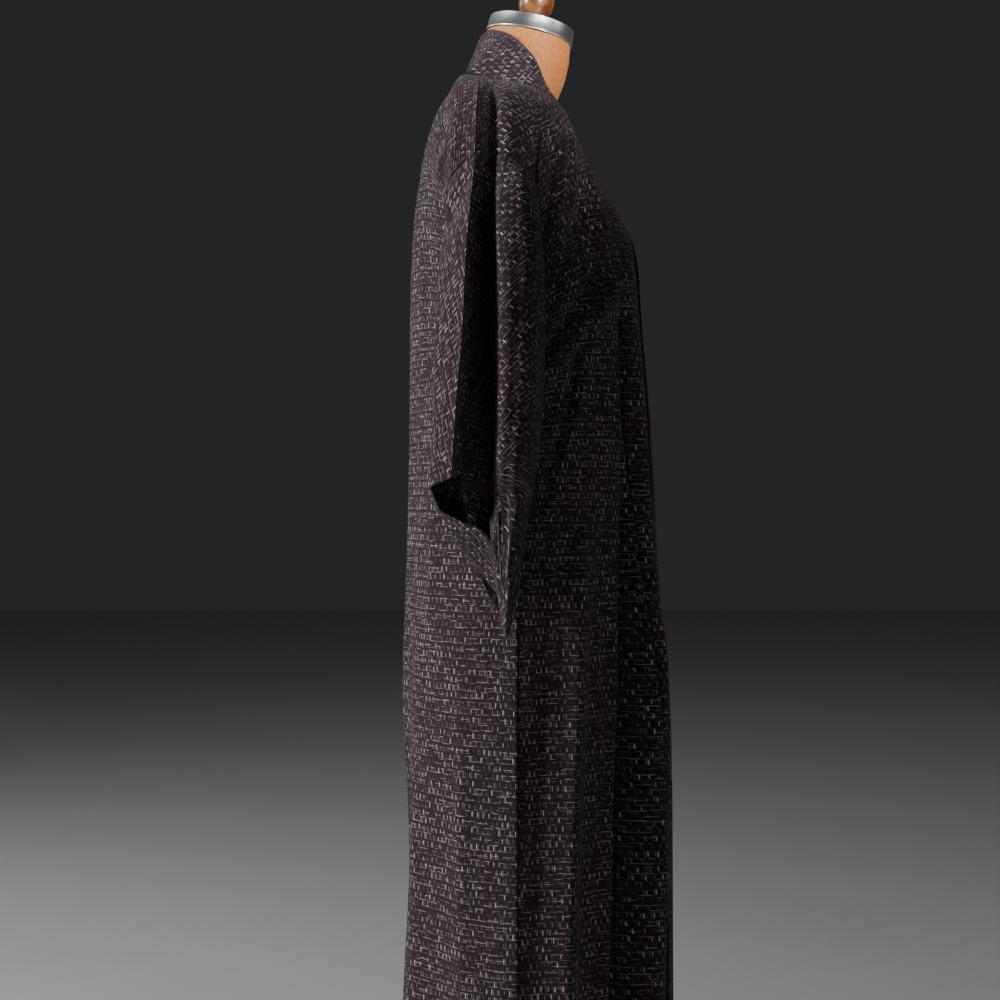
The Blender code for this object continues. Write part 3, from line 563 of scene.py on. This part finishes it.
class Wire:
    """One output in a finish, with the arithmetic that adds Math nodes."""

    def __init__(self, finish, socket):
        self.finish = finish
        self.socket = socket

    def math(self, operation, *values):
        return self.finish.node("Math", {"operation": operation}, dict(enumerate(values)))

    __add__, __radd__ = arithmetic("ADD"), arithmetic("ADD", swapped=True)
    __mul__, __rmul__ = arithmetic("MULTIPLY"), arithmetic("MULTIPLY", swapped=True)
    __sub__, __truediv__ = arithmetic("SUBTRACT"), arithmetic("DIVIDE")
    above, below = arithmetic("MAXIMUM"), arithmetic("MINIMUM")

    def __abs__(self):
        return self.math("ABSOLUTE", self)

    def floor(self):
        return self.math("FLOOR", self)

    def step(self, low, high):
        """0 below low, 1 above high and smooth between; the other way round where low is above high."""
        rising = low < high
        ends = {1: min(low, high), 2: max(low, high), 3: float(not rising), 4: float(rising)}
        return self.finish.node("MapRange", {"interpolation_type": "SMOOTHSTEP"}, {0: self, **ends})


class Finish:
    """A material with one Principled shader and the nodes that feed it."""

    def __init__(self, name, **sockets):
        self.material = bpy.data.materials.new(name)
        self.material.use_nodes = True
        self.tree = self.material.node_tree
        self.shader = self.tree.nodes["Principled BSDF"]
        self.set(**sockets)

    def set(self, **sockets):
        """Sets or feeds the shader's sockets, their names written with underscores."""
        for name, value in sockets.items():
            socket = self.shader.inputs[name.replace("_", " ")]
            if isinstance(value, Wire):
                self.tree.links.new(value.socket, socket)
            else:
                socket.default_value = value
        return self.material

    def node(self, kind, settings=None, sockets=None, output=0):
        made = self.tree.nodes.new("ShaderNode" + kind)
        for name, value in (settings or {}).items():
            setattr(made, name, value)
        for name, value in (sockets or {}).items():
            if isinstance(value, Wire):
                self.tree.links.new(value.socket, made.inputs[name])
            else:
                made.inputs[name].default_value = value
        return Wire(self, made.outputs[output])

    def place(self):
        return self.node("NewGeometry")

    def split(self, vector):
        return [self.node("SeparateXYZ", None, {0: vector}, i) for i in range(3)]

    def point(self, x, y, z=0.0):
        return self.node("CombineXYZ", None, {0: x, 1: y, 2: z})

    def noise(self, vector, scale, detail=2.0, roughness=0.5):
        return self.node("TexNoise", None, {"Vector": vector, "Scale": scale, "Detail": detail,
                                            "Roughness": roughness})

    def mix(self, share, first, second, blend="MIX"):
        """Two colours mixed by a share."""
        settings = {"data_type": "RGBA", "blend_type": blend}
        return self.node("Mix", settings, {0: share, 6: first, 7: second}, 2)

    def bump(self, height, distance, strength=1.0):
        return self.node("Bump", None, {"Height": height, "Distance": distance, "Strength": strength})


def colour(red, green, blue):
    return (red, green, blue, 1.0)


def stroke(aside, along, half_width, half_length):
    """1 on a short soft-edged line, 0 off it."""
    return (abs(aside) / half_width).above(abs(along) / half_length).step(1.35, 0.60)


def scattered(cotton, across, down, width, height, shift):
    """A staggered grid of cells: the place inside the cell, and three chances that differ by cell."""
    y = down / height + shift
    row = y.floor()
    x = across / width + shift + 0.5 * cotton.node("Math", {"operation": "PINGPONG"}, {0: row, 1: 1.0})
    column = x.floor()
    cell = cotton.point(column, row)
    chance = cotton.node("TexWhiteNoise", {"noise_dimensions": "2D"}, {"Vector": cell}, 1)
    return x - column - 0.5, y - row - 0.5, *cotton.split(chance)


def woven_cotton(name, ground, thread):
    """Dark cotton with pale threads floated in staggered rows: short bright uprights, and longer dim lines
    across them that make broken squares here and there."""
    cotton = Finish(name, Sheen_Weight=0.04, Sheen_Roughness=0.5, Specular_IOR_Level=0.22)
    where = cotton.node("UVMap", {"uv_map": "Cloth"})
    across, down, _ = cotton.split(where)
    wander = cotton.noise(where, 260.0, 1.0) - 0.5
    x, y, first, second, third = scattered(cotton, across, down, 0.0088, 0.0098, 0.0)
    tick = stroke(x + 0.12 * wander + 0.18 * (first - 0.5), y + 0.24 * (second - 0.5),
                  0.075, 0.14 + 0.17 * third)
    square = stroke(y + 0.30 + 0.14 * second, x - 0.12, 0.040, 0.20 + 0.22 * first)
    upright = stroke(x - 0.36 + 0.12 * third, y + 0.20 * (first - 0.5), 0.040, 0.22 + 0.16 * second)
    mark = tick * (0.12 + 1.05 * third * third) * second.step(0.06, 0.16)
    mark = mark.above(square * 0.50 * first).above(upright * 0.34 * (third * first).step(0.12, 0.40))
    x, y, first, second, third = scattered(cotton, across, down, 0.0215, 0.0067, 0.37)
    line = stroke(y + 0.34 * wander + 0.50 * (first - 0.5), x + 0.30 * (second - 0.5),
                  0.062, 0.16 + 0.28 * third)
    mark = mark.above(line * (0.18 + 0.52 * second) * first.step(0.22, 0.42))
    warp = cotton.noise(cotton.point(across * 1500.0, down * 210.0), 1.0, 2.0)
    weft = cotton.noise(cotton.point(across * 210.0, down * 1500.0), 1.0, 2.0)
    slub = warp * 0.5 + weft * 0.5
    cloudy = cotton.noise(cotton.place(), 7.0, 3.0)
    tone = (0.35 + 1.3 * slub) * (0.80 + 0.40 * cloudy)
    plain = cotton.mix(1.0, ground, cotton.point(tone, tone, tone), "MULTIPLY")
    base = cotton.mix((mark * (0.45 + 1.0 * slub)).below(1.0), plain, thread)
    fine = cotton.noise(cotton.place(), 45.0, 3.0)
    height = slub * 0.5 + mark * 0.35 + fine * 0.8
    return cotton.set(Base_Color=base, Roughness=0.80 + 0.15 * slub, Normal=cotton.bump(height, 0.0006, 0.6))


def stretched_linen():
    """Tan linen stretched over the form: fine crossed fibres, mottled, a little soiled."""
    linen = Finish("Tan linen", Sheen_Weight=0.05, Specular_IOR_Level=0.4)
    across, deep, up = linen.split(linen.place())
    fibres = linen.noise(linen.point(across * 900.0, deep * 900.0, up * 140.0), 1.0, 3.0)
    crossed = linen.noise(linen.point(across * 160.0, deep * 160.0, up * 1100.0), 1.0, 3.0)
    mottle = linen.noise(linen.place(), 160.0, 5.0, 0.7)
    stain = linen.noise(linen.place(), 14.0, 3.0)
    grain = fibres * 0.35 + crossed * 0.25 + mottle * 0.40
    light = linen.mix(grain.step(0.30, 0.68), colour(0.42, 0.125, 0.026), colour(0.82, 0.300, 0.070))
    worn = linen.mix(stain.step(0.42, 0.70) * 0.35, light, colour(0.36, 0.125, 0.034))
    return linen.set(Base_Color=worn, Roughness=0.50 + 0.25 * grain, Normal=linen.bump(grain, 0.0006, 0.6))


def brushed_metal(name, tint, roughness, direction=(1.0, 1.0, 40.0)):
    metal = Finish(name, Metallic=1.0)
    spread = [part * (30.0 * times) for part, times in zip(metal.split(metal.place()), direction)]
    lines = metal.noise(metal.point(*spread), 1.0, 3.0)
    smudge = metal.noise(metal.place(), 60.0, 3.0)
    tone = 0.82 + 0.22 * lines + 0.10 * smudge
    base = metal.mix(1.0, tint, metal.point(tone, tone, tone), "MULTIPLY")
    return metal.set(Base_Color=base, Roughness=roughness + 0.12 * lines + 0.08 * smudge,
                     Normal=metal.bump(lines, 0.0001, 0.4))


def turned_wood():
    wood = Finish("Brown turned wood", Coat_Weight=0.6, Coat_Roughness=0.12, Specular_IOR_Level=0.5)
    across, deep, up = wood.split(wood.place())
    wander = wood.noise(wood.place(), 18.0, 2.0)
    rings = wood.noise(wood.point(across * 160.0 + wander * 4.0, deep * 50.0, up * 22.0), 1.0, 3.0)
    pores = wood.noise(wood.point(across * 700.0, deep * 700.0, up * 60.0), 1.0, 2.0)
    base = wood.mix(rings.step(0.3, 0.7), colour(0.09, 0.026, 0.007), colour(0.34, 0.115, 0.028))
    base = wood.mix(pores.step(0.52, 0.66) * 0.5, base, colour(0.06, 0.022, 0.008))
    return wood.set(Base_Color=base, Roughness=0.28 + 0.15 * pores, Normal=wood.bump(pores, 0.0002, 0.3))


def painted_iron():
    iron = Finish("Black cast iron", Metallic=0.2)
    grain = iron.noise(iron.place(), 420.0, 3.0)
    patch = iron.noise(iron.place(), 16.0, 4.0)
    base = iron.mix(patch, colour(0.016, 0.016, 0.017), colour(0.040, 0.039, 0.037))
    return iron.set(Base_Color=base, Roughness=0.38 + 0.20 * grain + 0.10 * patch,
                    Normal=iron.bump(grain, 0.0006, 0.7))


# --- The robe ---
FRONT_COLUMNS = 46
NECK_COLUMNS = 12
ROW_STEP = 0.0085


def overlap_tip():
    """How far down the collar's seam meets the overlap panel's seam."""
    low, high = 0.10, 0.40
    for _ in range(30):
        middle = (low + high) / 2
        low, high = (middle, high) if collar_seam(middle) < FRONT_WIDTH else (low, middle)
    return high


def rows_between(start, end):
    count = max(1, round((end - start) / ROW_STEP))
    return [start + (end - start) * i / count for i in range(count)]


def panel_rows():
    stops = [0.0, NECK_ROW, overlap_tip(), ARMHOLE, COLLAR_END, HEM]
    return [down for a, b in zip(stops, stops[1:]) for down in rows_between(a, b)] + [HEM]


def on_cloth(side, across, length, height):
    """Cloth coordinates on a body panel: along the cloth over the shoulders, and level lower down.  In front
    of the shoulder's end the cloth turns as it falls."""
    level = smoothstep(0.0, 0.55, abs(across))
    down = math.copysign(abs(across) + (HEM + 0.07 - height - abs(across)) * level, across)
    turn = math.radians(38) * smoothstep(0.155, 0.075, length) * smoothstep(-0.02, 0.0, across)
    turn *= smoothstep(0.21, 0.09, across)
    up, aside = length - 0.115, down - 0.05
    return (0.5 + side * (0.115 + up * math.cos(turn) + aside * math.sin(turn)),
            4.05 + aside * math.cos(turn) - up * math.sin(turn))


def body_panel(side, name, look):
    """Back hem, over the shoulder, to the front hem in one length of cloth, slit at the side seam."""
    share = neck_share()
    rows = panel_rows()
    points, cloth = {}, {}
    middle = SEAM / 2
    for row, down in enumerate(rows):
        back_total = to_centre("back", down)
        start = middle if down >= ARMHOLE else 0.0
        for column in range(FRONT_COLUMNS + NECK_COLUMNS + 1):
            if column <= FRONT_COLUMNS:
                part = share * column / FRONT_COLUMNS
            else:
                part = share + (1 - share) * (column - FRONT_COLUMNS) / NECK_COLUMNS
            length = start + (back_total - middle - start) * part
            points["back", column, row] = panel_point(side, "back", down, length)
            cloth["back", column, row] = on_cloth(side, -down, length, points["back", column, row].z)
        for column in range(FRONT_COLUMNS + 1):
            end = front_edge(down) - middle
            length = start + (end - start) * column / FRONT_COLUMNS
            points["front", column, row] = panel_point(side, "front", down, length)
            cloth["front", column, row] = on_cloth(side, down, length, points["front", column, row].z)
    for column in range(FRONT_COLUMNS + 1):
        points["front", column, 0] = points["back", column, 0]
    faces = []
    for row in range(len(rows) - 1):
        for column in range(FRONT_COLUMNS + NECK_COLUMNS):
            if column < FRONT_COLUMNS or rows[row] >= NECK_ROW:
                faces.append([("back", column + i, row + j) for i, j in CORNERS])
        for column in range(FRONT_COLUMNS):
            corners = [("front", column + i, row + j) for i, j in CORNERS]
            faces.append([("back", c, 0) if r == 0 else (f, c, r) for f, c, r in corners])
    return cloth_sheet(name, points, faces, cloth, look)


def overlap_panel(side, name, look):
    """The narrow panel sewn to the front edge, pointed at the top."""
    tip = overlap_tip()
    rows = [(tip + 0.003, False)]
    rows += [(down, False) for down in panel_rows() if tip + 0.004 < down < COLLAR_END]
    rows += [(COLLAR_END, False), (COLLAR_END + 2 * SEAM, True)]
    rows += [(down, True) for down in panel_rows() if down > COLLAR_END + 0.002]
    columns = 26
    points, cloth = {}, {}
    for row, (down, below_collar) in enumerate(rows):
        start = FRONT_WIDTH + SEAM / 2
        end = collar_free(down) if below_collar else collar_seam(down) - SEAM / 2
        for column in range(columns + 1):
            length = start + (end - start) * column / columns
            points[column, row] = panel_point(side, "front", down, length)
            cloth[column, row] = on_cloth(side, down, length + 0.0031, points[column, row].z - 0.0043)
    return cloth_sheet(name, points, grid_faces(columns, len(rows) - 1), cloth, look)


def collar_stations(side):
    """Pairs of points, the seam's and the free edge's, from the nape down to the collar's end on one side."""
    seam_points = []
    share = neck_share()
    steps = 18
    total = to_centre("back", NECK_ROW)
    for i in range(steps + 1):
        part = 1 - (1 - share) * i / steps
        seam_points.append((panel_point(side, "back", NECK_ROW, total * part), None))
    for i in range(5, 0, -1):
        down = NECK_ROW * i / 6
        seam_points.append((panel_point(side, "back", down, to_centre("back", down) * share), None))
    downs = [down for down in rows_between(0.0, COLLAR_END - 2 * SEAM)] + [COLLAR_END - 2 * SEAM]
    seam_points += [(panel_point(side, "front", down, collar_seam(down)), down) for down in downs]
    stations = []
    along = 0.0
    for i, (seam, down) in enumerate(seam_points):
        if i:
            along += (seam - seam_points[i - 1][0]).length
        neck = NECK_EDGE.row(along)
        standing = Vector((side * neck["x"], neck["y"], neck["z"]))
        lying = standing
        if down is not None:
            lying = panel_point(side, "front", down, collar_free(down))
        laid = smoothstep(0.02, 0.13, down) if down is not None else 0.0
        stations.append((seam, standing.lerp(lying, laid), side * along))
    return stations


def collar(name, look):
    """One band folded double, round at its folded edge, from one front round the neck to the other."""
    stations = list(reversed(collar_stations(LEFT))) + collar_stations(RIGHT)[1:]
    count = 14
    around = 2 * count
    points, cloth = {}, {}
    for row, (seam, free, along) in enumerate(stations):
        before, after = stations[max(row - 1, 0)], stations[min(row + 1, len(stations) - 1)]
        across = free - seam
        run = (after[0] + after[1]) - (before[0] + before[1])
        face = across.cross(run).normalized()
        start = 0.0012 / across.length
        for column in range(around):
            out = 1 if column <= count else -1
            part = column / count if column <= count else 2 - column / count
            round_off = math.sqrt(max(1 - (max(part - 0.95, 0.0) / 0.05) ** 2, 0.0))
            soft = 0.0005 * math.sin(math.pi * part) * (1 + 0.5 * math.sin(57 * along + 9 * part))
            offset = face * out * (BAND / 2 * round_off + soft)
            points[column, row] = seam + across * (start + (1 - start) * part) + offset
            cloth[column, row] = (0.2 + out * across.length * part, 4.0 + along)
    faces = [[((i + k) % around, j + m) for k, m in CORNERS]
             for j in range(len(stations) - 1) for i in range(around)]
    faces += [[(column, row) for column in range(around)] for row in (0, len(stations) - 1)]
    return add_object(name, mesh_from(name, points, faces, cloth), look, 60)


SLEEVE_FINE = 4
SLEEVE_COLUMNS = tuple(SLEEVE_FINE * count for count in (3, 2, 2, 3, 3, 2, 2, 3, 2))
BACK_EDGE, BACK_RIDGE, GROOVE = 3, 4, 5  # their places among the section's stations
# Creases in the sleeve's outer face: where they start and end in "step", and in the share of the way round.
SLEEVE_CREASES = named_rows(
    "top foot around_top around_foot width out",
    (0.02, 0.40, 0.365, 0.350, 0.012, -0.0030),
    (0.05, 0.60, 0.420, 0.400, 0.010, 0.0026),
    (0.10, 0.95, 0.740, 0.700, 0.012, -0.0030),
    (0.02, 0.55, 0.790, 0.800, 0.012, 0.0030),
    (0.30, 1.00, 0.660, 0.640, 0.008, 0.0022),
    (0.25, 0.60, 0.330, 0.380, 0.010, 0.0025))


def sleeve_section(step):
    """The section's ten stations, as (x outwards, y, z)."""
    at = SLEEVE.row(step)
    seam_y = 0.030 + 0.012 * step
    drop = at["z"] - at["z_seam"]
    back_z = at["z"] - 0.45 * drop
    heel = at["ridge_out"] - at["wall_out"]
    return [Vector((at["wall_out"], seam_y, at["z_seam"])),
            Vector((at["tuck_out"], at["tuck_y"], at["z_seam"] + 0.2 * drop)),
            Vector((at["wall_out"] + 0.003, at["back_y"] - 0.45 * heel, (back_z + at["z_seam"]) / 2)),
            Vector((at["wall_out"] + 0.003 + 0.5 * heel, at["back_y"], back_z)),
            Vector((at["ridge_out"], at["ridge_y"], at["z"])),
            Vector((at["groove_out"], at["groove_y"], at["z"])),
            Vector((at["lap_out"], at["lap_y"], at["z"])),
            Vector((at["crest_out"], at["crest_y"], at["z"])),
            Vector((at["wall_out"] + 0.003, at["front_y"], back_z)),
            Vector((at["wall_out"], seam_y, at["z_seam"]))]


def sleeve_row(step):
    """The section as a smooth line through its stations, creased at the back ridge."""
    stations = sleeve_section(step)
    tangents = [stations[1] - stations[0]]
    tangents += [(b - a) / 2 for a, b in zip(stations, stations[2:])]
    tangents += [stations[-1] - stations[-2]]
    points = []
    for i, count in enumerate(SLEEVE_COLUMNS):
        a, b = stations[i], stations[i + 1]
        leave, arrive = tangents[i], tangents[i + 1]
        if i == BACK_RIDGE - 1:
            arrive = b - a
        if i == BACK_RIDGE:
            leave = b - a
        for k in range(count + (i == len(SLEEVE_COLUMNS) - 1)):
            points.append(hermite(k / count, a, leave, b, arrive))
    return points


def armhole_point(side, around):
    """A point just outside the armhole's edge, by share of the way round from its foot up the back."""
    across = TOP_EDGE.at(around, "across")
    edge = panel_point(side, "back" if across < 0 else "front", abs(across), 0.0)
    return Vector((abs(edge.x) + CLOTH, edge.y, edge.z))


def sleeve_crease(step, around):
    total = 0.0
    for crease in SLEEVE_CREASES:
        share = (step - crease["top"]) / (crease["foot"] - crease["top"])
        if 0 < share < 1:
            place = crease["around_top"] + (crease["around_foot"] - crease["around_top"]) * share
            ends = smoothstep(0, 0.2, share) * smoothstep(0, 0.2, 1 - share)
            total += crease["out"] * ends * swell(around - place, crease["width"])
    return total


def sleeve(side, name, look):
    """A two-layer bag sewn to the armhole, hanging by its own weight, with the wrist opening in its back."""
    stops = [0.0, 0.05, 0.10, 0.16, 0.22, 0.29, 0.36, 0.43, 0.50, 0.56, MOUTH_STEP, 0.72, 0.82, 0.91, 1.0]
    steps = [a + (b - a) * i / 4 for a, b in zip(stops, stops[1:]) for i in range(4)] + [1.0]
    total = sum(SLEEVE_COLUMNS)
    first = sum(SLEEVE_COLUMNS[:BACK_EDGE])
    ridge = sum(SLEEVE_COLUMNS[:BACK_RIDGE])
    groove = sum(SLEEVE_COLUMNS[:GROOVE])
    upper, lower = steps.index(MOUTH_STEP), steps.index(0.72)
    mouth_row = sleeve_row(MOUTH_STEP)
    top_row = sleeve_row(0.05)
    points, cloth = {}, {}
    above, fallen = None, 0.0
    for row, step in enumerate(steps):
        placed_row = []
        for column, point in enumerate(sleeve_row(step)):
            around = column / total
            at_mouth = smoothstep(groove + 2 * SLEEVE_FINE, groove, column)
            lip_share = (column - first) / (groove - first)
            if step < 0.05:
                point = armhole_point(side, around).lerp(top_row[column], step / 0.05)
            if step > MOUTH_STEP:
                foot = (step - MOUTH_STEP) / (1 - MOUTH_STEP)
                low = BOTTOM_EDGE.at(around, "z")
                dropped = at_mouth * (column >= first)
                high = mouth_row[column].z + (LIPS.at(lip_share, "lower") - mouth_row[column].z) * dropped
                foot -= 0.16 * (1 - foot) * dropped
                point.z = high + (low - high) * foot
            if step <= MOUTH_STEP and column >= first:
                raised = at_mouth * smoothstep(0.36, MOUTH_STEP, step)
                point.z += (LIPS.at(lip_share, "upper") - mouth_row[column].z) * raised
            point = point + Vector((1, 0, 0)) * sleeve_crease(step, around)
            ripple = math.sin(37 * step + 21 * around) + 0.6 * math.sin(61 * step - 33 * around + side)
            point.x += 0.0010 * ripple * smoothstep(0.05, 0.3, step) * math.sin(math.pi * around)
            shift = SEAM if column == 0 else -SEAM if column == total else 0.0
            placed_row.append(Vector((point.x, point.y + shift, point.z)))
        lengths = [0.0]
        for a, b in zip(placed_row, placed_row[1:]):
            lengths.append(lengths[-1] + (b - a).length)
        if above is not None:
            fallen += (placed_row[ridge] - above[ridge]).length
        above = placed_row
        for column, point in enumerate(placed_row):
            points[column, row] = Vector((side * point.x, point.y, point.z))
            aside = lengths[column] - lengths[ridge]
            lean = math.radians(52 if aside > 0 else 70)
            cloth[column, row] = (2.0 + abs(aside) * math.cos(lean) - fallen * math.sin(lean),
                                  2.0 - abs(aside) * math.sin(lean) - fallen * math.cos(lean))
            if column <= groove and step > MOUTH_STEP:
                cloth[column, row] = (3.0 + 0.7 * (aside + fallen), 2.0 + 0.7 * (aside - fallen))

    def in_mouth(column, row):
        return upper <= row < lower and first <= column < groove

    return cloth_sheet(name, points, grid_faces(total, len(steps) - 1, in_mouth), cloth, look)


# --- The dress form and its stand ---
def torso(name, look, columns=96):
    """Hips, waist, bust, shoulders and neck in one smooth body, its neck cut at the cap's tilt."""
    rings = []
    count = 150
    for k in range(count + 1):
        height = FORM_FOOT + (NECK_TOP - FORM_FOOT) * k / count
        at = FORM.row(height)
        middle = (at["front"] + at["back"]) / 2
        depth = (at["back"] - at["front"]) / 2
        ring = []
        for i in range(columns):
            angle = 2 * math.pi * i / columns
            across, forth = math.sin(angle), math.cos(angle)
            power = 2 / at["square"]
            x = at["half_width"] * math.copysign(abs(across) ** power, across)
            y = middle + depth * math.copysign(abs(forth) ** power, forth)
            ring.append(Vector((x, y, height)))
        rings.append(ring)
    top = []
    for i in range(columns):
        angle = 2 * math.pi * i / columns
        flat = Vector((NECK_RADIUS * math.sin(angle), NECK_RADIUS * math.cos(angle), -0.0006))
        top.append(CAP_CENTRE + Matrix.Rotation(CAP_TILT, 3, "X") @ flat)
    neck = rings[-1]
    for k in range(1, 9):
        share = k / 8
        rings.append([low.lerp(high, share) for low, high in zip(neck, top)])
    points = {(i, k): point for k, ring in enumerate(rings) for i, point in enumerate(ring)}
    faces = [[((i + m) % columns, k + n) for m, n in CORNERS]
             for k in range(len(rings) - 1) for i in range(columns)]
    faces += [[(i, k) for i in range(columns)] for k in (0, len(rings) - 1)]
    return add_object(name, mesh_from(name, points, faces), look)


def arc(centre_radius, centre_height, radius, start, end, count):
    """Points of a turned profile along an arc, its angles measured from straight outwards, in degrees."""
    angles = [math.radians(start + (end - start) * i / count) for i in range(count + 1)]
    return [(centre_radius + radius * math.cos(a), centre_height + radius * math.sin(a)) for a in angles]


def cap_ring(look):
    edge = 0.0015
    profile = [(0.0, CAP_HEIGHT)] + arc(CAP_RADIUS - 0.002 - edge, CAP_HEIGHT - edge, edge, 90, 0, 8)
    profile += [(CAP_RADIUS - 0.0006, 0.0030), (CAP_RADIUS, 0.0022), (CAP_RADIUS, 0.0008),
                (CAP_RADIUS - 0.0008, 0.0), (0.0, 0.0)]
    cap = turned("cap_ring", profile, look, 128)
    cap.location = CAP_CENTRE
    cap.rotation_euler = (CAP_TILT, 0.0, 0.0)
    return cap


def knob(look):
    """A turned egg on a short stem."""
    widest, low_half, high_half = 0.0240, 0.027, 0.036
    stem = 0.0025
    waist = stem + low_half - 0.0015
    profile = [(widest * math.cos(math.radians(a)), waist + high_half * math.sin(math.radians(a)))
               for a in range(90, 0, -4)]
    profile += [(widest * math.cos(math.radians(a)), waist - low_half * math.sin(math.radians(a)))
                for a in range(0, 73, 4)]
    profile[0] = (0.0, waist + high_half)
    profile += [(0.0085, stem), (0.0080, 0.0), (0.0, 0.0)]
    piece = turned("turned_knob", profile, look, 64)
    lift = Matrix.Rotation(CAP_TILT, 3, "X") @ Vector((0.0, 0.0, CAP_HEIGHT + SEAM))
    piece.location = CAP_CENTRE + lift
    piece.rotation_euler = (CAP_TILT, 0.0, 0.0)
    return piece


def stand_pole(look):
    foot = HUB_TOP + SEAM
    top, edge = POLE_TOP - SEAM, 0.0006
    profile = [(0.0, top), (POLE_RADIUS - edge, top), (POLE_RADIUS, top - edge),
               (POLE_RADIUS, foot), (0.0, foot)]
    return turned("stand_pole", profile, look, 64)


def stand_base(look):
    edge = 0.007
    profile = [(0.0, HUB_TOP), (0.024, HUB_TOP), (0.0265, HUB_TOP - 0.0025), (0.030, 0.040), (0.046, 0.031),
               (0.110, 0.027)]
    profile += arc(BASE_RADIUS - edge, BASE_THICKNESS - edge, edge, 80, 0, 10)
    profile += [(BASE_RADIUS, 0.002), (BASE_RADIUS - 0.002, 0.0), (0.0, 0.0)]
    return turned("stand_base", profile, look, 128)


# --- Put together ---
def dress_and_stand():
    cotton = woven_cotton("Charcoal woven cotton", colour(0.028, 0.0165, 0.0215), colour(0.55, 0.47, 0.49))
    # The collar's weave is the robe's own pattern, but its threads and ground are painted a little darker than
    # the body's cotton: painted shade for the collar taking less light.
    band = woven_cotton("Collar cotton", colour(0.027, 0.0165, 0.0215), colour(0.50, 0.43, 0.45))
    for side, word in ((RIGHT, "right"), (LEFT, "left")):
        piece = placed(body_panel(side, "robe_body_" + word, cotton), "body_" + word)
        piece = placed(overlap_panel(side, "robe_overlap_" + word, cotton), "overlap_" + word)
        piece = placed(sleeve(side, "robe_sleeve_" + word, cotton), "sleeve_" + word)
    piece = placed(collar("robe_collar", band), "collar")
    placed(torso("dress_form", stretched_linen()), "form")
    aluminium = brushed_metal("Brushed aluminium", colour(0.90, 0.905, 0.92), 0.24)
    placed(cap_ring(aluminium), "neck_cap")
    placed(knob(turned_wood()), "finial")
    steel = brushed_metal("Grey steel tube", colour(0.45, 0.45, 0.46), 0.30, (40.0, 40.0, 1.0))
    placed(stand_pole(steel), "pole")
    placed(stand_base(painted_iron()), "base")


def studio():
    """A plain pale floor, a soft light behind the right shoulder, and weaker ones on rim, neck and front."""
    paper = Finish("Pale studio floor", Roughness=0.9)
    speck = paper.noise(paper.place(), 3.0, 2.0)
    paper.set(Base_Color=paper.mix(speck, colour(0.60, 0.60, 0.60), colour(0.64, 0.64, 0.64)))
    points = {(i, j): Vector((i * 30.0 - 15.0, j * 30.0 - 15.0, 0.0)) for i in range(2) for j in range(2)}
    floor = add_object("floor", mesh_from("floor", points, grid_faces(1, 1)), paper.material)
    world = bpy.data.worlds.new("Soft studio")
    world.use_nodes = True
    sky = world.node_tree.nodes["Background"]
    sky.inputs["Color"].default_value = (0.62, 0.63, 0.65, 1.0)
    sky.inputs["Strength"].default_value = 0.038
    bpy.context.scene.world = world
    for name, spot, aim, size, power, spread in (
            ("Key", (-1.4, 3.55, 2.75), (0.0, 0.05, 1.3), 0.9, 178.0, 180),
            ("Rim", (1.6, 3.4, 2.6), (0.0, 0.0, 1.3), 1.4, 25.0, 180),
            ("Neck", (-2.0, -1.0, 2.1), (0.0, -0.01, 1.75), 0.4, 0.75, 12),
            ("Fill", (-1.2, -3.8, 2.3), (0.0, 0.0, 1.2), 1.6, 13.0, 180)):
        lamp = bpy.data.lights.new(name, "AREA")
        lamp.shape = "DISK"
        lamp.size = size
        lamp.energy = power
        lamp.spread = math.radians(spread)
        holder = in_scene(name, lamp)
        holder.location = spot
        holder.rotation_mode = "QUATERNION"
        holder.rotation_quaternion = (Vector(aim) - Vector(spot)).to_track_quat("-Z", "Y")


def camera():
    lens = bpy.data.cameras.new("Camera")
    lens.sensor_width = 36.0
    lens.lens = 63.94
    holder = in_scene("Camera", lens)
    holder.location = (-2.41, 0.041, 1.08)
    holder.rotation_euler = (math.radians(90.0), 0.0, math.radians(-90.0))
    bpy.context.scene.camera = holder


dress_and_stand()
studio()
camera()
